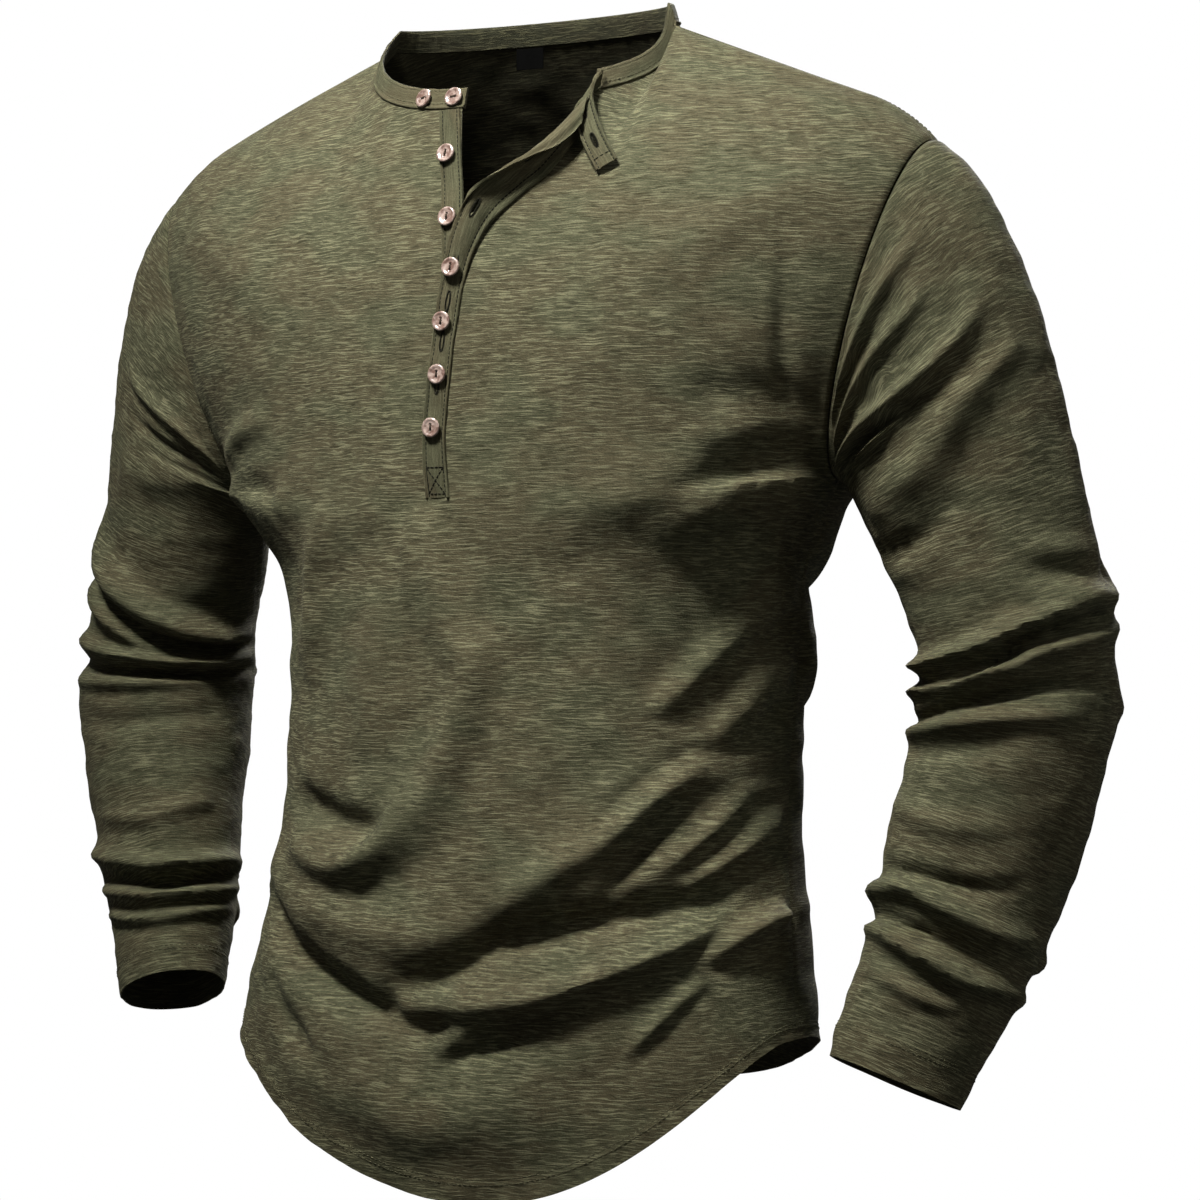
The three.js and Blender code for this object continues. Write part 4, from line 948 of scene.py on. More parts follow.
@dataclass(frozen=True)
class PolishedShell:
    """Moulded shell-look resin, tumble polished: clouded pinkish brown with a wet gloss."""

    name: str = "moulded_shell_look_resin"
    brown: str = "574239"
    cream: str = "8b7a70"

    def build(self) -> bpy.types.Material:
        """Makes the material."""
        material, tree, shader = new_material(self.name)
        place = add_node(tree, "ShaderNodeTexCoord").outputs["Object"]
        cloud = add_node(
            tree, "ShaderNodeTexNoise", {"Vector": place, "Scale": 1 / (3.2 * MM), "Detail": 3.0, "Distortion": 0.8}
        ).outputs[0]
        colour = blended(tree, shaped(tree, cloud, 0.35, 0.68, 1.0), linear(self.brown), linear(self.cream))
        tree.links.new(colour, shader.inputs["Base Color"])
        rub = add_node(tree, "ShaderNodeTexNoise", {"Vector": place, "Scale": 1 / (0.8 * MM)}).outputs[0]
        bump = add_node(tree, "ShaderNodeBump", {"Height": rub, "Strength": 0.15, "Distance": 0.05 * MM})
        tree.links.new(bump.outputs[0], shader.inputs["Normal"])
        shader.inputs["Roughness"].default_value = 0.28
        shader.inputs["Coat Weight"].default_value = 0.4
        shader.inputs["Coat Roughness"].default_value = 0.1
        return material


@dataclass(frozen=True)
class WovenSatin:
    """Black polyester satin ribbon, shuttle woven: fine slanting floats with a narrow sheen."""

    name: str = "woven_black_satin"

    def build(self) -> bpy.types.Material:
        """Makes the material."""
        material, tree, shader = new_material(self.name)
        place = add_node(tree, "ShaderNodeUVMap", uv_map="courses").outputs[0]
        floats = add_node(
            tree, "ShaderNodeTexWave", {"Vector": place, "Scale": 1 / (2.4 * MM), "Distortion": 0.4},
            bands_direction="DIAGONAL",
        ).outputs[1]
        colour = blended(tree, floats, linear("020202"), linear("050504"))
        tree.links.new(colour, shader.inputs["Base Color"])
        bump = add_node(tree, "ShaderNodeBump", {"Height": floats, "Strength": 0.4, "Distance": 0.1 * MM})
        tree.links.new(bump.outputs[0], shader.inputs["Normal"])
        shader.inputs["Roughness"].default_value = 0.7
        shader.inputs["Specular IOR Level"].default_value = 0.015
        return material


@dataclass(frozen=True)
class StudioPaper:
    """Matt white background paper: even and plain, with no gloss."""

    name: str = "white_background_paper"

    def build(self) -> bpy.types.Material:
        """Makes the material."""
        material, _, shader = new_material(self.name)
        shader.inputs["Base Color"].default_value = linear("e4e4e2")
        shader.inputs["Roughness"].default_value = 1.0
        shader.inputs["Emission Color"].default_value = linear("f6f6f4")
        shader.inputs["Emission Strength"].default_value = 0.7
        return material


# ---- Pieces ------------------------------------------------------------------------------------


@dataclass
class Wardrobe:
    """The finishes that the pieces share."""

    jersey: bpy.types.Material = field(default_factory=lambda: SlubJersey("slub_cotton_jersey").build())
    band: bpy.types.Material = field(
        default_factory=lambda: SlubJersey("doubled_slub_jersey", ground="393726", slub_strength=0.4).build()
    )
    thread: bpy.types.Material = field(default_factory=lambda: SpunThread().build())
    button: bpy.types.Material = field(default_factory=lambda: PolishedShell().build())
    satin: bpy.types.Material = field(default_factory=lambda: WovenSatin().build())
    # The wrong side: the reverse face of the same slub jersey, in darker colours that paint the shade inside the shirt.
    wrong_side_painted_shade: bpy.types.Material = field(
        default_factory=lambda: SlubJersey(
            "slub_jersey_reverse_painted_shade", ground="2d2c1f", brown="2f2a1d", grey="2c2d20", pale="4b4934", dark="17160c"
        ).build()
    )
    # Near-black thread for the placket, the band's end and the buttonholes: its dark colour is painted shade of the
    # stitch grooves.
    groove_shade_thread: bpy.types.Material = field(
        default_factory=lambda: SpunThread("spun_thread_painted_groove_shade", "191810", "0c0b06").build()
    )
    dark_thread: bpy.types.Material = field(
        default_factory=lambda: SpunThread("spun_button_thread", "3a2f28").build()
    )


def fit(
    thing: bpy.types.Object,
    finish: bpy.types.Material,
    slot: Slot,
    *nodes: str,
    inner: bpy.types.Material | None = None,
) -> bpy.types.Object:
    """Dresses a piece, hangs it on the frame's body and hides the CAD nodes that it replaces.

    Args:
        thing: the piece.
        finish: its material.
        slot: not used.
        nodes: the CAD nodes that it replaces, if any.
        inner: the finish of its wrong side, where that differs.
    """
    both = [finish, inner or finish]
    if len(thing.data.materials) < 2:
        thing.data.materials.append(None)
        both = [finish]
    for place, side in enumerate(both):
        thing.data.materials[place] = side
    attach(thing, BODY)
    if nodes:
        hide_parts(*nodes)
    return thing


class Body:
    """The front and the back, with the placket's opening, the hem and the shoulder seams."""

    OPENING = [(2.2, 10), (3, -52), (7.5, -80), (13.5, -112), (28, -104), (48, -86), (58, -68), (67, -48), (71, -30)]
    COLUMNS = 150
    ROWS = 205

    def __init__(self, wardrobe: Wardrobe) -> None:
        """Takes the shared finishes."""
        self.wardrobe = wardrobe
        self.front = Panel(1, FRONT_MIDDLE, FRONT_CREASES, 11)
        self.back = Panel(-1, BACK_MIDDLE, BACK_CREASES, 23)

    def shares(self) -> tuple[np.ndarray, np.ndarray]:
        """Where a panel has points, across and up, closer together by its seams and its hem."""
        edge = 1 - np.array([0, 0.8, 1.7, 2.9, 4.4, 6.2, 8.4]) / PANEL_HALF
        middle = np.linspace(-edge[-1], edge[-1], self.COLUMNS)[1:-1]
        across = np.concatenate([-edge, middle, edge[::-1]])
        hem = np.array([0, 0.7, 2.4, 4.6, 6.8, 8.8, 10.4, 11.6, 12.8, 14.2, 16]) / PANEL_TALL
        top = 1 - np.array([7, 5.2, 3.6, 2.3, 1.2, 0.5, 0]) / PANEL_TALL
        up = np.concatenate([hem, np.linspace(hem[-1], top[0], self.ROWS)[1:-1], top])
        return across, up

    def courses(self, grid: np.ndarray, up: np.ndarray) -> np.ndarray:
        """Places on the cloth: level courses, counted along the cloth over the shoulders."""
        across = np.linalg.norm(np.diff(grid, axis=1), axis=-1)
        u = np.concatenate([np.zeros((grid.shape[0], 1)), np.cumsum(across, axis=1)], axis=1)
        u -= u[:, grid.shape[1] // 2][:, None]
        steps = np.diff(grid, axis=0)
        rise = np.hypot(steps[..., 1] * ease(ARMPIT_UP, 0.8, up[1:])[:, None], steps[..., 2])
        rise = np.where(steps[..., 2] < -0.2, -rise, rise)
        v = np.concatenate([grid[:1, :, 2], grid[:1, :, 2] + np.cumsum(rise, axis=0)])
        return np.stack([u, v], -1)

    def panel(self, name: str, surface: Panel) -> bpy.types.Object:
        """One panel as a thin closed shell."""
        across, up = self.shares()
        s, t = np.meshgrid(across, up)
        grid = surface.at(s, t)
        return shell(name, grid, surface.outward(s, t), SHELL, self.courses(grid, up))

    def opening(self) -> bpy.types.Object:
        """The wedge of space that the rolled-back placket leaves open."""
        count = len(self.OPENING)
        points = [(x, y, z) for y in (-210, -10) for x, z in self.OPENING]
        faces = [list(range(count)), list(range(2 * count - 1, count - 1, -1))]
        faces += [[i, (i + 1) % count, (i + 1) % count + count, i + count] for i in range(count)]
        return facing_out(new_object("opening_cutter", np.array(points), faces))

    def hem_rows(self, surface: Panel) -> list[StitchRow]:
        """Two rows of coverstitch round half the hem."""
        s = np.linspace(-1, 1, 320)
        rows = []
        for high in (HEM_STITCH - 1.4, HEM_STITCH + 1.4):
            t = np.full(s.shape, high / PANEL_TALL)
            rows.append(StitchRow(surface.at(s, t, 0.1), surface.outward(s, t)))
        return rows

    def shoulder_rows(self) -> list[StitchRow]:
        """A topstitch beside each shoulder seam, on the back."""
        rows = []
        for side in (-1, 1):
            s = side * np.linspace(NECK_COLUMN + 0.035, 0.985, 120)
            t = np.full(s.shape, 1 - 4.5 / PANEL_TALL)
            rows.append(StitchRow(self.back.at(s, t, 0.12), self.back.outward(s, t)))
        return rows

    def build(self) -> list[bpy.types.Object]:
        """Makes both panels and their stitching."""
        front = self.panel("front_panel", self.front)
        cut_with(front, self.opening())
        back = self.panel("back_panel", self.back)
        # The inner faces take the darker wrong side, whose colours paint the shade inside the shirt.
        inner = self.wardrobe.wrong_side_painted_shade
        fit(front, self.wardrobe.jersey, Slot.JERSEY, "front_body", inner=inner)
        fit(back, self.wardrobe.jersey, Slot.JERSEY, "back_body", inner=inner)
        front_hem = fit(stitching("front_hem_stitches", self.hem_rows(self.front)), self.wardrobe.thread, Slot.JERSEY)
        back_hem = fit(stitching("back_hem_stitches", self.hem_rows(self.back)), self.wardrobe.thread, Slot.JERSEY)
        yoke = fit(stitching("shoulder_stitches", self.shoulder_rows()), self.wardrobe.thread, Slot.JERSEY)
        return [front, back, front_hem, back_hem, yoke]

    def on_front(self, x: np.ndarray, z: np.ndarray, lift: float | np.ndarray) -> tuple[np.ndarray, np.ndarray]:
        """Points that stand off the front at places (x, z), and the front's directions there."""
        x, z = np.broadcast_arrays(np.asarray(x, float), np.asarray(z, float))
        s = np.clip(x / PANEL_HALF, -0.9, 0.9)
        t = np.clip(1 + (z + 50) / PANEL_TALL, 0, 1)
        h = 2e-3
        for _ in range(14):
            place = self.front.base(s, t)
            ds = (self.front.base(s + h, t) - place) / h
            high = np.minimum(t + h, 1)
            dt = (self.front.base(s, high) - self.front.base(s, high - h)) / h
            gap_x, gap_z = x - place[..., 0], z - place[..., 2]
            det = ds[..., 0] * dt[..., 2] - ds[..., 2] * dt[..., 0]
            s = np.clip(s + (gap_x * dt[..., 2] - gap_z * dt[..., 0]) / det, -0.98, 0.98)
            t = np.clip(t + (gap_z * ds[..., 0] - gap_x * ds[..., 2]) / det, 0, 1)
        out, plain = self.front.outward(s, t), self.front.base(s, t)
        return plain + out * (self.front.folds(s, t, plain) + lift)[..., None], out


class Sleeves:
    """Both sleeves with their turned and double-stitched cuffs."""

    LEFT_REACH = 10.0
    RIGHT_REACH = -15.0
    AROUND = 112
    ALONG = 190

    def __init__(self, wardrobe: Wardrobe) -> None:
        """Takes the shared finishes."""
        self.wardrobe = wardrobe
        self.left = Sleeve(1, self.LEFT_REACH, LEFT_CREASES, 31)
        self.right = Sleeve(-1, self.RIGHT_REACH, RIGHT_CREASES, 47)

    def courses(self, grid: np.ndarray, down: np.ndarray) -> np.ndarray:
        """Places on the cloth: the courses run round the arm, and over the cap by its length."""
        across = np.linalg.norm(np.diff(grid, axis=1), axis=-1)
        u = np.concatenate([np.zeros((grid.shape[0], 1)), np.cumsum(across, axis=1)], axis=1)
        u -= u[:, grid.shape[1] // 2][:, None]
        along = np.linalg.norm(np.diff(grid, axis=0), axis=-1)
        v = np.concatenate([np.zeros((1, grid.shape[1])), np.cumsum(along, axis=0)])
        cap = int(np.searchsorted(down, SLEEVE_CAP))
        v -= v[cap]
        v[cap:] = v[cap:].mean(axis=1, keepdims=True)
        return np.stack([u, v], -1)

    def make(self, name: str, surface: Sleeve, node: str) -> list[bpy.types.Object]:
        """One sleeve and the stitches of its cuff."""
        top = np.array([0, 0.5, 1.2, 2.2, 3.5, 5, 7]) / SLEEVE_LONG
        down = np.concatenate([top, np.linspace(top[-1], 1, self.ALONG)[1:]])
        s, t = np.meshgrid(np.linspace(180, 540, self.AROUND + 1), down)
        grid = surface.at(s, t)
        sleeve = tube(name, grid, surface.outward(s, t), SHELL, self.courses(grid, down))
        fit(sleeve, self.wardrobe.jersey, Slot.JERSEY, node, inner=self.wardrobe.wrong_side_painted_shade)
        turn = np.linspace(0, 360, 200)
        rows = []
        for high in (CUFF_STITCH - 1.4, CUFF_STITCH + 1.4):
            at = np.full(turn.shape, 1 - high / SLEEVE_LONG)
            rows.append(StitchRow(surface.at(turn, at, 0.1), surface.outward(turn, at)))
        cuff = fit(stitching(f"{name}_cuff_stitches", rows), self.wardrobe.thread, Slot.JERSEY)
        return [sleeve, cuff]

    def build(self) -> list[bpy.types.Object]:
        """Makes both sleeves."""
        left = self.make("left_sleeve", self.left, "sleeve_left")
        return left + self.make("right_sleeve", self.right, "sleeve_right")


@dataclass
class NeckBand:
    """The narrow stand-up band, folded over at its top, with its two buttons' end at the front."""

    wardrobe: Wardrobe
    high: float = 12.5
    lean: float = 0.3
    thick: float = 1.8
    start: float = 52.0
    end: float = 362.6

    # The section's edges from this one on are inside the neck
    FOLD = 9

    def point(self, angle: np.ndarray, up: np.ndarray, lift: np.ndarray) -> tuple[np.ndarray, np.ndarray]:
        """Points of the band at angles and heights, off its face by a lift, and directions out."""
        turn = np.radians(np.asarray(angle, float))
        radial = xyz(np.sin(turn), -np.cos(turn), 0.0)
        upright = np.array([0.0, 0.0, 1.0])
        rise = unit(upright - self.lean * radial)
        face = unit(radial + self.lean * upright)
        shift = rise * np.asarray(up + 0.0)[..., None] + face * np.asarray(lift + 0.0)[..., None]
        return neck(angle) + shift, face

    def profile(self) -> list[Point]:
        """The band's section as (height, lift), round over its folded top."""
        inner = -self.thick
        foot = [(0.0, 0.0), (0.25, 0.8), (0.9, 1.05), (1.5, 0.8), (1.9, 0.1)]
        side = foot + [(5, 0.25), (8, 0.3), (10.5, 0.15), (self.high - 0.8, -0.1)]
        top = [(self.high - 0.15, -0.45), (self.high, inner / 2), (self.high - 0.15, inner + 0.45)]
        return side + top + [(self.high - 0.8, inner + 0.1), (8, inner - 0.1), (4, inner - 0.1), (0.0, inner)]

    def build(self) -> list[bpy.types.Object]:
        """Makes the band and its stitch rows."""
        angles = np.linspace(self.start, self.end, 190)
        profile = self.profile()
        count = len(profile)
        swell = 0.25 * np.sin(angles * 0.9) * np.sin(angles * 0.23)
        rings = np.stack([self.point(angles, up, lift + swell)[0] for up, lift in profile], 1)
        ids = np.arange(rings.shape[0] * count).reshape(-1, count)
        after = np.roll(ids, -1, axis=1)
        faces = np.stack([ids[:-1], after[:-1], after[1:], ids[1:]], -1).reshape(-1, 4).tolist()
        faces += [ids[0].tolist(), ids[-1][::-1].tolist()]
        run = np.concatenate([[0], np.cumsum(np.linalg.norm(np.diff(rings[:, 0], axis=0), axis=1))])
        around = np.cumsum([0] + [math.dist(profile[i], profile[i + 1]) for i in range(count - 1)])
        courses = np.stack(np.broadcast_arrays(run[:, None], around[None, :]), -1).reshape(-1, 2)
        band = new_object("stand_band", rings.reshape(-1, 3), faces, courses)
        inside = np.arange((len(rings) - 1) * count).reshape(-1, count)[:, self.FOLD :].ravel()
        facing_out(inside_out(band, inside))
        fit(band, self.wardrobe.band, Slot.BAND, "neck_band", inner=self.wardrobe.wrong_side_painted_shade)
        rows = []
        for up, lift in ((3.4, 0.3), (self.high - 1.6, 0.2)):
            path, face = self.point(angles[2:-2], up, lift + swell[2:-2])
            rows.append(StitchRow(path, face, pitch=2.8, length=2.1, radius=0.2))
        stitches = fit(stitching("band_stitches", rows), self.wardrobe.thread, Slot.BAND)
        return [band, stitches]


@dataclass
class Placket:
    """The two strips of the half opening, the band's free end, their stitching and buttonholes."""

    wardrobe: Wardrobe
    body: Body
    thick: float = 1.1
    layer: float = 0.4

    # Under strip: z, x
    UNDER = [(-49.5, -4.5), (-72, 0), (-90, 4), (-110, 7.5), (-135, 10.5)]
    UNDER_HALF = 6.5
    # Over strip: seam x and z, crest x and z, free edge x and z, lift of the crest and the edge
    OVER = [
        (11, -260, 3.5, -260, -4, -260, 0.3, 0.3),
        (9.5, -228, 2.5, -228, -4.5, -228, 1, 1),
        (12.5, -195, 5.5, -195, -1.5, -195, 1, 1),
        (15.5, -167, 8.5, -167, 1.5, -167, 1.2, 1.2),
        (20, -140, 12.5, -140, 5.5, -140, 2.2, 2.2),
        (28, -121, 20, -118, 12, -115, 5, 5),
        (37, -110, 28, -103, 24, -102, 6.5, 11),
        (48, -99, 38.5, -93, 38, -94, 6.5, 12),
        (59, -88, 49.5, -82, 51, -86, 6.5, 10.5),
        (67, -71, 59.5, -67, 62, -79, 6.5, 8.5),
        (72, -54, 67.5, -51, 69, -67, 6, 7),
    ]
    # Free end of the band: its middle line, and the direction across it
    TAB = [
        (71, -49, -36, 0.1, 0.1, 1),
        (67.5, -56, -41, 0.45, 0.2, 0.85),
        (68, -63, -50, 0.7, 0.26, 0.65),
        (74, -69, -61.5, 0.8, 0.26, 0.5),
        (81, -73, -73, 0.8, 0.26, 0.47),
        (89.5, -76, -85.5, 0.8, 0.26, 0.47),
    ]
    TAB_HALF = 6.5

    # Shares across a strip, close together at its puffed edges and the grooves of its stitches,
    # and how deep each lies
    ACROSS = (0, 0.015, 0.045, 0.08, 0.115, 0.15, 0.195, 0.34, 0.5, 0.66, 0.805, 0.85, 0.885, 0.92, 0.955, 0.985, 1)
    DEPTHS = (0.6, 0.1, -0.2, 0, 0.75, 1, 0.6, 0.3, 0.25, 0.3, 0.6, 1, 0.75, 0, -0.2, 0.1, 0.6)

    def strip(self, name: str, grid: np.ndarray, node: str) -> tuple[bpy.types.Object, np.ndarray, np.ndarray]:
        """One strip from its outer grid: the piece, its face with puffed edges and the ways out of it."""
        out = grid_out(grid, np.array([0.1, -1, 0.1]))
        face = grid - out * np.array(self.DEPTHS)[None, :, None]
        piece = shell(name, face, out, self.thick, grid_courses(grid)[..., ::-1])
        fit(piece, self.wardrobe.band, Slot.BAND, node)
        return piece, face, out

    def under_grid(self) -> np.ndarray:
        """The under strip's outer points."""
        z = np.linspace(self.UNDER[0][0], self.UNDER[-1][0], 60)
        x = Track([-row[0] for row in self.UNDER], [row[1] for row in self.UNDER])(-z)
        w = np.array(self.ACROSS) * 2 - 1
        xs, zs = x[:, None] + w[None, :] * self.UNDER_HALF, np.broadcast_to(z[:, None] - 1, (60, len(w)))
        return self.body.on_front(xs, zs, self.layer + self.thick)[0]

    def over_grid(self) -> np.ndarray:
        """The over strip's outer points, rolled outward above the last fastened button."""
        at = np.linspace(0, len(self.OVER) - 1, 131)
        seam_x, seam_z, crest_x, crest_z, free_x, free_z, lift, free_lift = (c(at) for c in tracks(self.OVER))
        under = self.layer + self.thick
        over = under + 0.9 * np.clip((at - 3.2) / 0.8, 0, 1)
        seam = self.body.on_front(seam_x, seam_z, under)[0]
        crest = self.body.on_front(crest_x, crest_z, over + lift - 1)[0]
        free = self.body.on_front(free_x, free_z, over + free_lift - 1)[0]
        handle = 2 * crest - 0.5 * seam - 0.5 * free
        f = np.array(self.ACROSS)[None, :, None]
        return seam[:, None] * (1 - f) ** 2 + handle[:, None] * 2 * f * (1 - f) + free[:, None] * f**2

    def tab_grid(self) -> np.ndarray:
        """The outer points of the band's free end."""
        columns = tracks(self.TAB)
        at = np.linspace(0, len(self.TAB) - 1, 60)
        middle = np.stack([column(at) for column in columns[:3]], -1)
        across = unit(np.stack([column(at) for column in columns[3:]], -1))
        w = (np.array(self.ACROSS)[None, :, None] * 2 - 1) * self.TAB_HALF
        return middle[:, None] + across[:, None] * w

    @staticmethod
    def line(grid: np.ndarray, out: np.ndarray, column: float, low: float = 0.0, high: float = 1.0) -> StitchRow:
        """A row of stitches along a strip at a share of its width, between two shares of its length."""
        return Placket.path(grid, out, [(low, column), (high, column)])

    @staticmethod
    def path(grid: np.ndarray, out: np.ndarray, ends: list[Point], **sizes: float) -> StitchRow:
        """A row of stitches along straight lines between shares (length, width) of a strip."""
        rows, columns = grid.shape[:2]
        along, points, faces = np.array(ends), [], []
        for a, b in zip(along[:-1], along[1:]):
            for f in np.linspace(0, 1, 60):
                length, width = mix(a, b, f)
                j, i = length * (rows - 1), np.interp(width, Placket.ACROSS, range(columns))
                j0, i0 = min(int(j), rows - 2), min(int(i), columns - 2)
                fj, fi = j - j0, i - i0
                for field_of, kept in ((grid, points), (out, faces)):
                    low = mix(field_of[j0, i0], field_of[j0, i0 + 1], fi)
                    kept.append(mix(low, mix(field_of[j0 + 1, i0], field_of[j0 + 1, i0 + 1], fi), fj))
        directions = unit(np.array(faces))
        settings = {"pitch": 2.5, "length": 2.2, "radius": 0.36} | sizes
        return StitchRow(np.array(points) + directions * 0.05, directions, **settings)

    @staticmethod
    def buttonhole(centre: np.ndarray, along: np.ndarray, out: np.ndarray, long: float) -> list[StitchRow]:
        """Dense stitches round a slit.

        Args:
            centre: the slit's middle on the cloth.
            along: the direction of the slit.
            out: the direction out of the cloth.
            long: the slit's length.
        """
        along, out = unit(along), unit(out)
        side = np.cross(along, out)
        turn = np.linspace(0, 2 * math.pi, 80)
        loop = centre + np.outer(np.cos(turn), along) * long / 2 + np.outer(np.sin(turn), side) * 1.1 + out * 0.05
        faces = np.repeat(out[None], len(turn), axis=0)
        return [StitchRow(loop, faces, pitch=0.55, length=1.3, radius=0.2, slant=2.5)]

    @staticmethod
    def slit(centre: np.ndarray, along: np.ndarray, out: np.ndarray, long: float) -> bpy.types.Object:
        """The thin block of space that a buttonhole cuts."""
        along, out = unit(along), unit(out)
        side = np.cross(along, out) * 0.55
        ends = [(-1, -0.2), (-0.8, -1), (0.8, -1), (1, -0.2), (1, 0.2), (0.8, 1), (-0.8, 1), (-1, 0.2)]
        ring = [centre + along * (a * long / 2) + side * b for a, b in ends]
        points = [corner + out * rise for rise in (-3.0, 3.0) for corner in ring]
        n = len(ring)
        faces = [list(range(n)), list(range(2 * n - 1, n - 1, -1))]
        faces += [[i, (i + 1) % n, (i + 1) % n + n, i + n] for i in range(n)]
        return facing_out(new_object("slit_cutter", np.array(points), faces))

    def build(self) -> list[bpy.types.Object]:
        """Makes the strips, their stitching and their buttonholes."""
        under_grid, over_grid, tab_grid = self.under_grid(), self.over_grid(), self.tab_grid()
        under, under_grid, under_out = self.strip("button_strip", under_grid, "placket_under")
        over, over_grid, over_out = self.strip("buttonhole_strip", over_grid, "placket_over")
        tab, tab_grid, tab_out = self.strip("band_end", tab_grid, "band_tab")
        near, far, low, high = 0.15, 0.85, 0.006, 0.05
        rows = [self.line(over_grid, over_out, near), self.line(over_grid, over_out, far)]
        box = [(low, near), (low, far), (high, far), (high, near), (low, far)]
        rows += [self.path(over_grid, over_out, box), self.path(over_grid, over_out, [(low, near), (high, far)])]
        under_rows = [self.line(under_grid, under_out, near), self.line(under_grid, under_out, far)]
        tab_rows = [self.line(tab_grid, tab_out, near), self.line(tab_grid, tab_out, far)]
        tab_rows += [self.path(tab_grid, tab_out, [(0.92, near), (0.92, far)])]
        for share in (0.5, 0.78):
            j, i = int(share * (tab_grid.shape[0] - 1)), tab_grid.shape[1] // 2
            slit = tab_grid[j + 1, i] - tab_grid[j - 1, i]
            tab_rows += self.buttonhole(tab_grid[j, i], slit, tab_out[j, i], 10)
            cut_with(tab, self.slit(tab_grid[j, i], slit, tab_out[j, i], 8.6))
        holes = []
        for share in (0.185, 0.262, 0.345, 0.42, 0.56, 0.8):
            j, i = int(share * (over_grid.shape[0] - 1)), over_grid.shape[1] // 2
            slit = over_grid[j + 1, i] - over_grid[j - 1, i]
            holes += self.buttonhole(over_grid[j, i], slit, over_out[j, i], 11)
            if share > 0.5:
                cut_with(over, self.slit(over_grid[j, i], slit, over_out[j, i], 9.6))
        # The near-black thread paints the shade in these stitch grooves.
        thread, slot = self.wardrobe.groove_shade_thread, Slot.BAND
        over_sewn = fit(stitching("buttonhole_strip_stitches", rows + holes), thread, slot)
        under_sewn = fit(stitching("button_strip_stitches", under_rows), thread, slot)
        tab_sewn = fit(stitching("band_end_stitches", tab_rows), thread, slot)
        return [under, over, tab, over_sewn, under_sewn, tab_sewn]


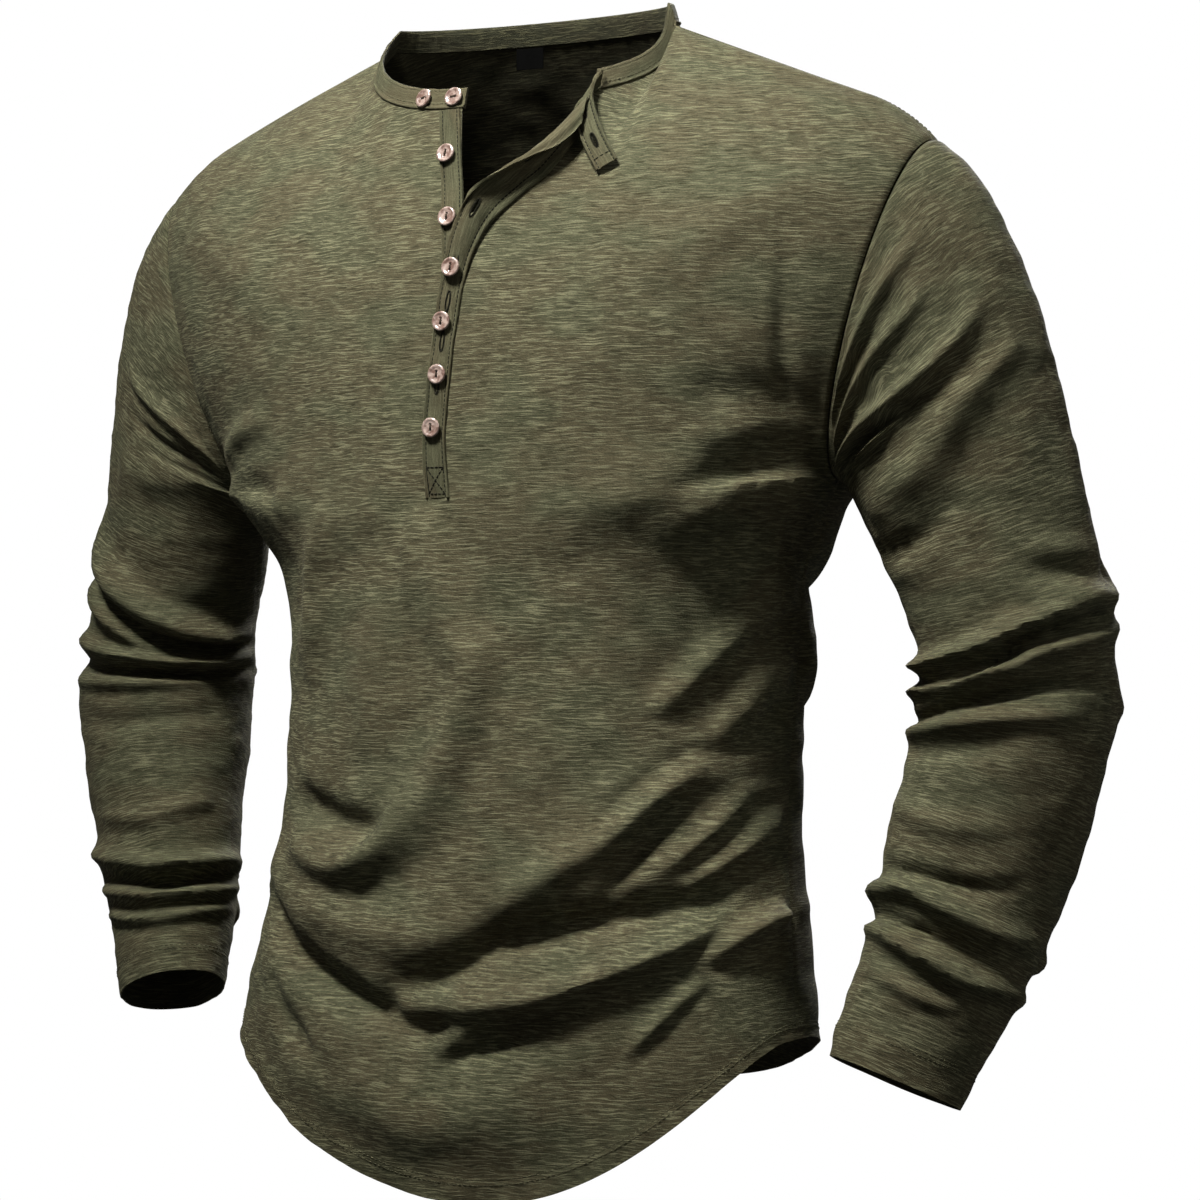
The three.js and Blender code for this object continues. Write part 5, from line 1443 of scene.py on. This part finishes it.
@dataclass
class Buttons:
    """The eight dished two-hole buttons, each sewn on with one bar of thread."""

    wardrobe: Wardrobe
    body: Body
    band: NeckBand
    radius: float = 5.35
    thick: float = 2.2
    dish: float = 0.5
    sides: int = 44
    hole_apart: float = 1.35
    hole_radius: float = 0.72

    # On the placket: node, x, z, lift
    ON_PLACKET = [
        ("button_1", -1, -76, 1.8),
        ("button_2", 5.5, -111, 1.75),
        ("button_3", 12, -139, 4.65),
        ("button_4", 7, -167, 2.2),
        ("button_5", 5.5, -195, 1.85),
        ("button_6", 2, -223, 1.8),
    ]
    # On the band: node, angle round the neck, share of the band's height
    ON_BAND = [("button_band_1", -15, 0.45), ("button_band_2", -1.8, 0.5)]

    def profile(self) -> list[Point]:
        """The button's section from its foot to the middle of its dished face."""
        r, t = self.radius, self.thick
        return [
            (0, 0.05),
            (r * 0.7, 0.0),
            (r * 0.86, t * 0.12),
            (r * 0.97, t * 0.35),
            (r, t * 0.55),
            (r * 0.985, t * 0.78),
            (r * 0.93, t * 0.94),
            (r * 0.84, t),
            (r * 0.76, t * 0.98),
            (r * 0.68, t - self.dish * 0.55),
            (r * 0.6, t - self.dish * 0.9),
            (r * 0.5, t - self.dish),
            (0, t - self.dish),
        ]

    def disc(self, name: str) -> bpy.types.Object:
        """A button lying in the XY plane, its face up, with two drilled holes."""
        profile = self.profile()
        turns = np.linspace(0, 2 * math.pi, self.sides, endpoint=False)
        points = [(0.0, 0.0, profile[0][1])]
        for r, h in profile[1:-1]:
            points += [(r * math.cos(a), r * math.sin(a), h) for a in turns]
        points.append((0.0, 0.0, profile[-1][1]))
        n, rings = self.sides, len(profile) - 2
        faces = [[0, 1 + (k + 1) % n, 1 + k] for k in range(n)]
        for ring in range(rings - 1):
            first = 1 + ring * n
            faces += [[first + k, first + (k + 1) % n, first + n + (k + 1) % n, first + n + k] for k in range(n)]
        last = 1 + (rings - 1) * n
        faces += [[last + k, last + (k + 1) % n, last + n] for k in range(n)]
        button = facing_out(new_object(name, np.array(points), faces))
        for side in (-1, 1):
            cut_with(button, self.drill(side * self.hole_apart))
        return button

    def drill(self, y: float) -> bpy.types.Object:
        """A slim prism that cuts one hole."""
        n = 16
        ring = [(self.hole_radius * math.cos(2 * math.pi * k / n), self.hole_radius * math.sin(2 * math.pi * k / n))
                for k in range(n)]
        points = [(a, b + y, h) for h in (-1.0, self.thick + 1) for a, b in ring]
        faces = [list(range(n)), list(range(2 * n - 1, n - 1, -1))]
        faces += [[k, (k + 1) % n, (k + 1) % n + n, k + n] for k in range(n)]
        return facing_out(new_object("drill", np.array(points), faces))

    def thread_bar(self, name: str) -> bpy.types.Object:
        """Three turns of thread from hole to hole, sunk into both."""
        rows = []
        for shift in (-0.28, 0.0, 0.28):
            arch = np.linspace(-1, 1, 15)
            rise = self.thick - self.dish + 0.22 - 0.9 * np.abs(arch) ** 4
            path = xyz(shift + 0 * arch, arch * (self.hole_apart + 0.1), rise)
            rows.append(StitchRow(path, xyz(0 * arch, 0 * arch, 1 + 0 * arch), pitch=9.0, length=2.5, radius=0.3))
        return stitching(name, rows)

    def place(self, node: str, spot: np.ndarray, out: np.ndarray, along: np.ndarray) -> list[bpy.types.Object]:
        """Puts one button on its place, its two holes in line with a direction."""
        out = unit(out)
        side = unit(np.cross(along, out))
        turned = Matrix([Vector(side), Vector(np.cross(out, side)), Vector(out)]).transposed().to_4x4()
        move = Matrix.Translation(Vector(spot * MM)) @ turned
        disc, bar = self.disc(f"shell_{node}"), self.thread_bar(f"shell_{node}_thread")
        for thing in (disc, bar):
            thing.data.transform(move)
        fit(disc, self.wardrobe.button, Slot.BUTTON, node)
        fit(bar, self.wardrobe.dark_thread, Slot.BUTTON)
        return [disc, bar]

    def build(self) -> list[bpy.types.Object]:
        """Makes all the buttons."""
        made = []
        for node, x, z, lift in self.ON_PLACKET:
            place, out = self.body.on_front(np.array([float(x)]), np.array([float(z)]), lift)
            made += self.place(node, place[0], out[0], np.array([0.05, 0.0, 1.0]))
        for node, angle, share in self.ON_BAND:
            spot, face = self.band.point(np.array([float(angle)]), 0.3 + self.band.high * share, 0.4)
            made += self.place(node, spot[0], face[0], np.array([1.0, 0.0, 0.1]))
        return made


@dataclass
class Label:
    """The bare black label inside the back neck."""

    wardrobe: Wardrobe
    x: float = -26.0
    rise: float = -2.0
    off: float = 4.5
    wide: float = 17.0
    high: float = 12.0

    def build(self) -> list[bpy.types.Object]:
        """Makes the label, a little proud at its free lower end."""
        f, down = np.meshgrid(np.linspace(-0.5, 0.5, 17), np.linspace(0, 1, 13))
        angle = 180 - np.degrees(np.arcsin((self.x + self.wide * f) / NECK["half"]))
        turn = np.radians(angle)
        inward = -xyz(np.sin(turn), -np.cos(turn), 0.0)
        bow = 0.25 * np.sin(3 * math.pi * (f + 0.5)) * down
        grid = neck(angle) + inward * (self.off + bow)[..., None]
        grid[..., 2] -= self.high * down - self.rise
        label = shell("bare_label", grid, inward, 0.7, grid_courses(grid))
        fit(label, self.wardrobe.satin, Slot.LABEL, "neck_label")
        return [label]


class Studio:
    """The camera at the photograph's angle, soft lights and a plain pale floor."""

    AZIMUTH = 30.0
    DISTANCE = 1.9
    LEVEL = -0.337
    LENS = 102.3
    SHIFT = (0.0575, 0.0358)
    AIM = (0.02, -0.05, -0.13)
    AMBIENT = 0.13
    FLOOR = -1150.0

    def camera(self) -> None:
        """A level camera, turned to the wearer's left front."""
        turn = math.radians(self.AZIMUTH)
        data = bpy.data.cameras.new("camera")
        data.lens, data.sensor_width = self.LENS, 36.0
        data.shift_x, data.shift_y = self.SHIFT
        camera = bpy.data.objects.new("camera", data)
        camera.location = (self.DISTANCE * math.sin(turn), -self.DISTANCE * math.cos(turn), self.LEVEL)
        camera.rotation_euler = (math.pi / 2, 0.0, turn)
        bpy.context.scene.collection.objects.link(camera)
        bpy.context.scene.camera = camera

    def lamp(self, name: str, place: tuple[float, float, float], size: float, watts: float, spread: float) -> None:
        """A square soft light with a grid on it, aimed at the chest; the spread is in degrees."""
        data = bpy.data.lights.new(name, "AREA")
        data.shape, data.size, data.energy = "SQUARE", size, watts
        data.spread = math.radians(spread)
        lamp = bpy.data.objects.new(name, data)
        lamp.location = place
        aim = Vector(self.AIM) - Vector(place)
        lamp.rotation_euler = aim.to_track_quat("-Z", "Y").to_euler()
        bpy.context.scene.collection.objects.link(lamp)

    def build(self) -> None:
        """Makes the camera, the lights, the surroundings and the floor."""
        self.camera()
        self.lamp("key_light", (-0.1, -1.15, 1.5), 0.55, 5.5, 26.0)
        self.lamp("top_light", (0.1, 0.2, 1.6), 0.7, 3.0, 90.0)
        self.lamp("side_light", (1.8, -0.4, 0.5), 0.6, 1.5, 90.0)
        self.lamp("back_light", (-0.4, 2.0, 1.2), 0.8, 22.0, 80.0)
        world = bpy.data.worlds.new("studio")
        world.use_nodes = True
        tree = world.node_tree
        seen = add_node(tree, "ShaderNodeLightPath").outputs["Is Camera Ray"]
        level = add_node(tree, "ShaderNodeMapRange", {"Value": seen, "To Min": self.AMBIENT, "To Max": 1.0}).outputs[0]
        tree.links.new(level, tree.nodes["Background"].inputs["Strength"])
        tree.nodes["Background"].inputs["Color"].default_value = (1.0, 1.0, 1.0, 1.0)
        bpy.context.scene.world = world
        bpy.context.scene.view_settings.view_transform = "Standard"
        n, wide = 64, 2800.0
        turns = [2 * math.pi * k / n for k in range(n)]
        ring = [(wide * math.cos(turn), wide * math.sin(turn), self.FLOOR) for turn in turns]
        floor = new_object("pale_floor", np.array(ring), [list(range(n))])
        floor.data.materials.append(StudioPaper().build())
        floor.visible_diffuse = floor.visible_glossy = False


def main() -> None:
    """Builds the shirt on the frame and reports each piece."""
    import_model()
    Studio().build()
    wardrobe = Wardrobe()
    body = Body(wardrobe)
    band = NeckBand(wardrobe)
    for maker in (body, Sleeves(wardrobe), band, Placket(wardrobe, body), Buttons(wardrobe, body, band), Label(wardrobe)):
        for piece in maker.build():
            LOG.info("%s: %d faces", piece.name, len(piece.data.polygons))


if __name__ == "__main__":
    logging.basicConfig(level=logging.INFO, format="%(name)s: %(message)s")
    main()
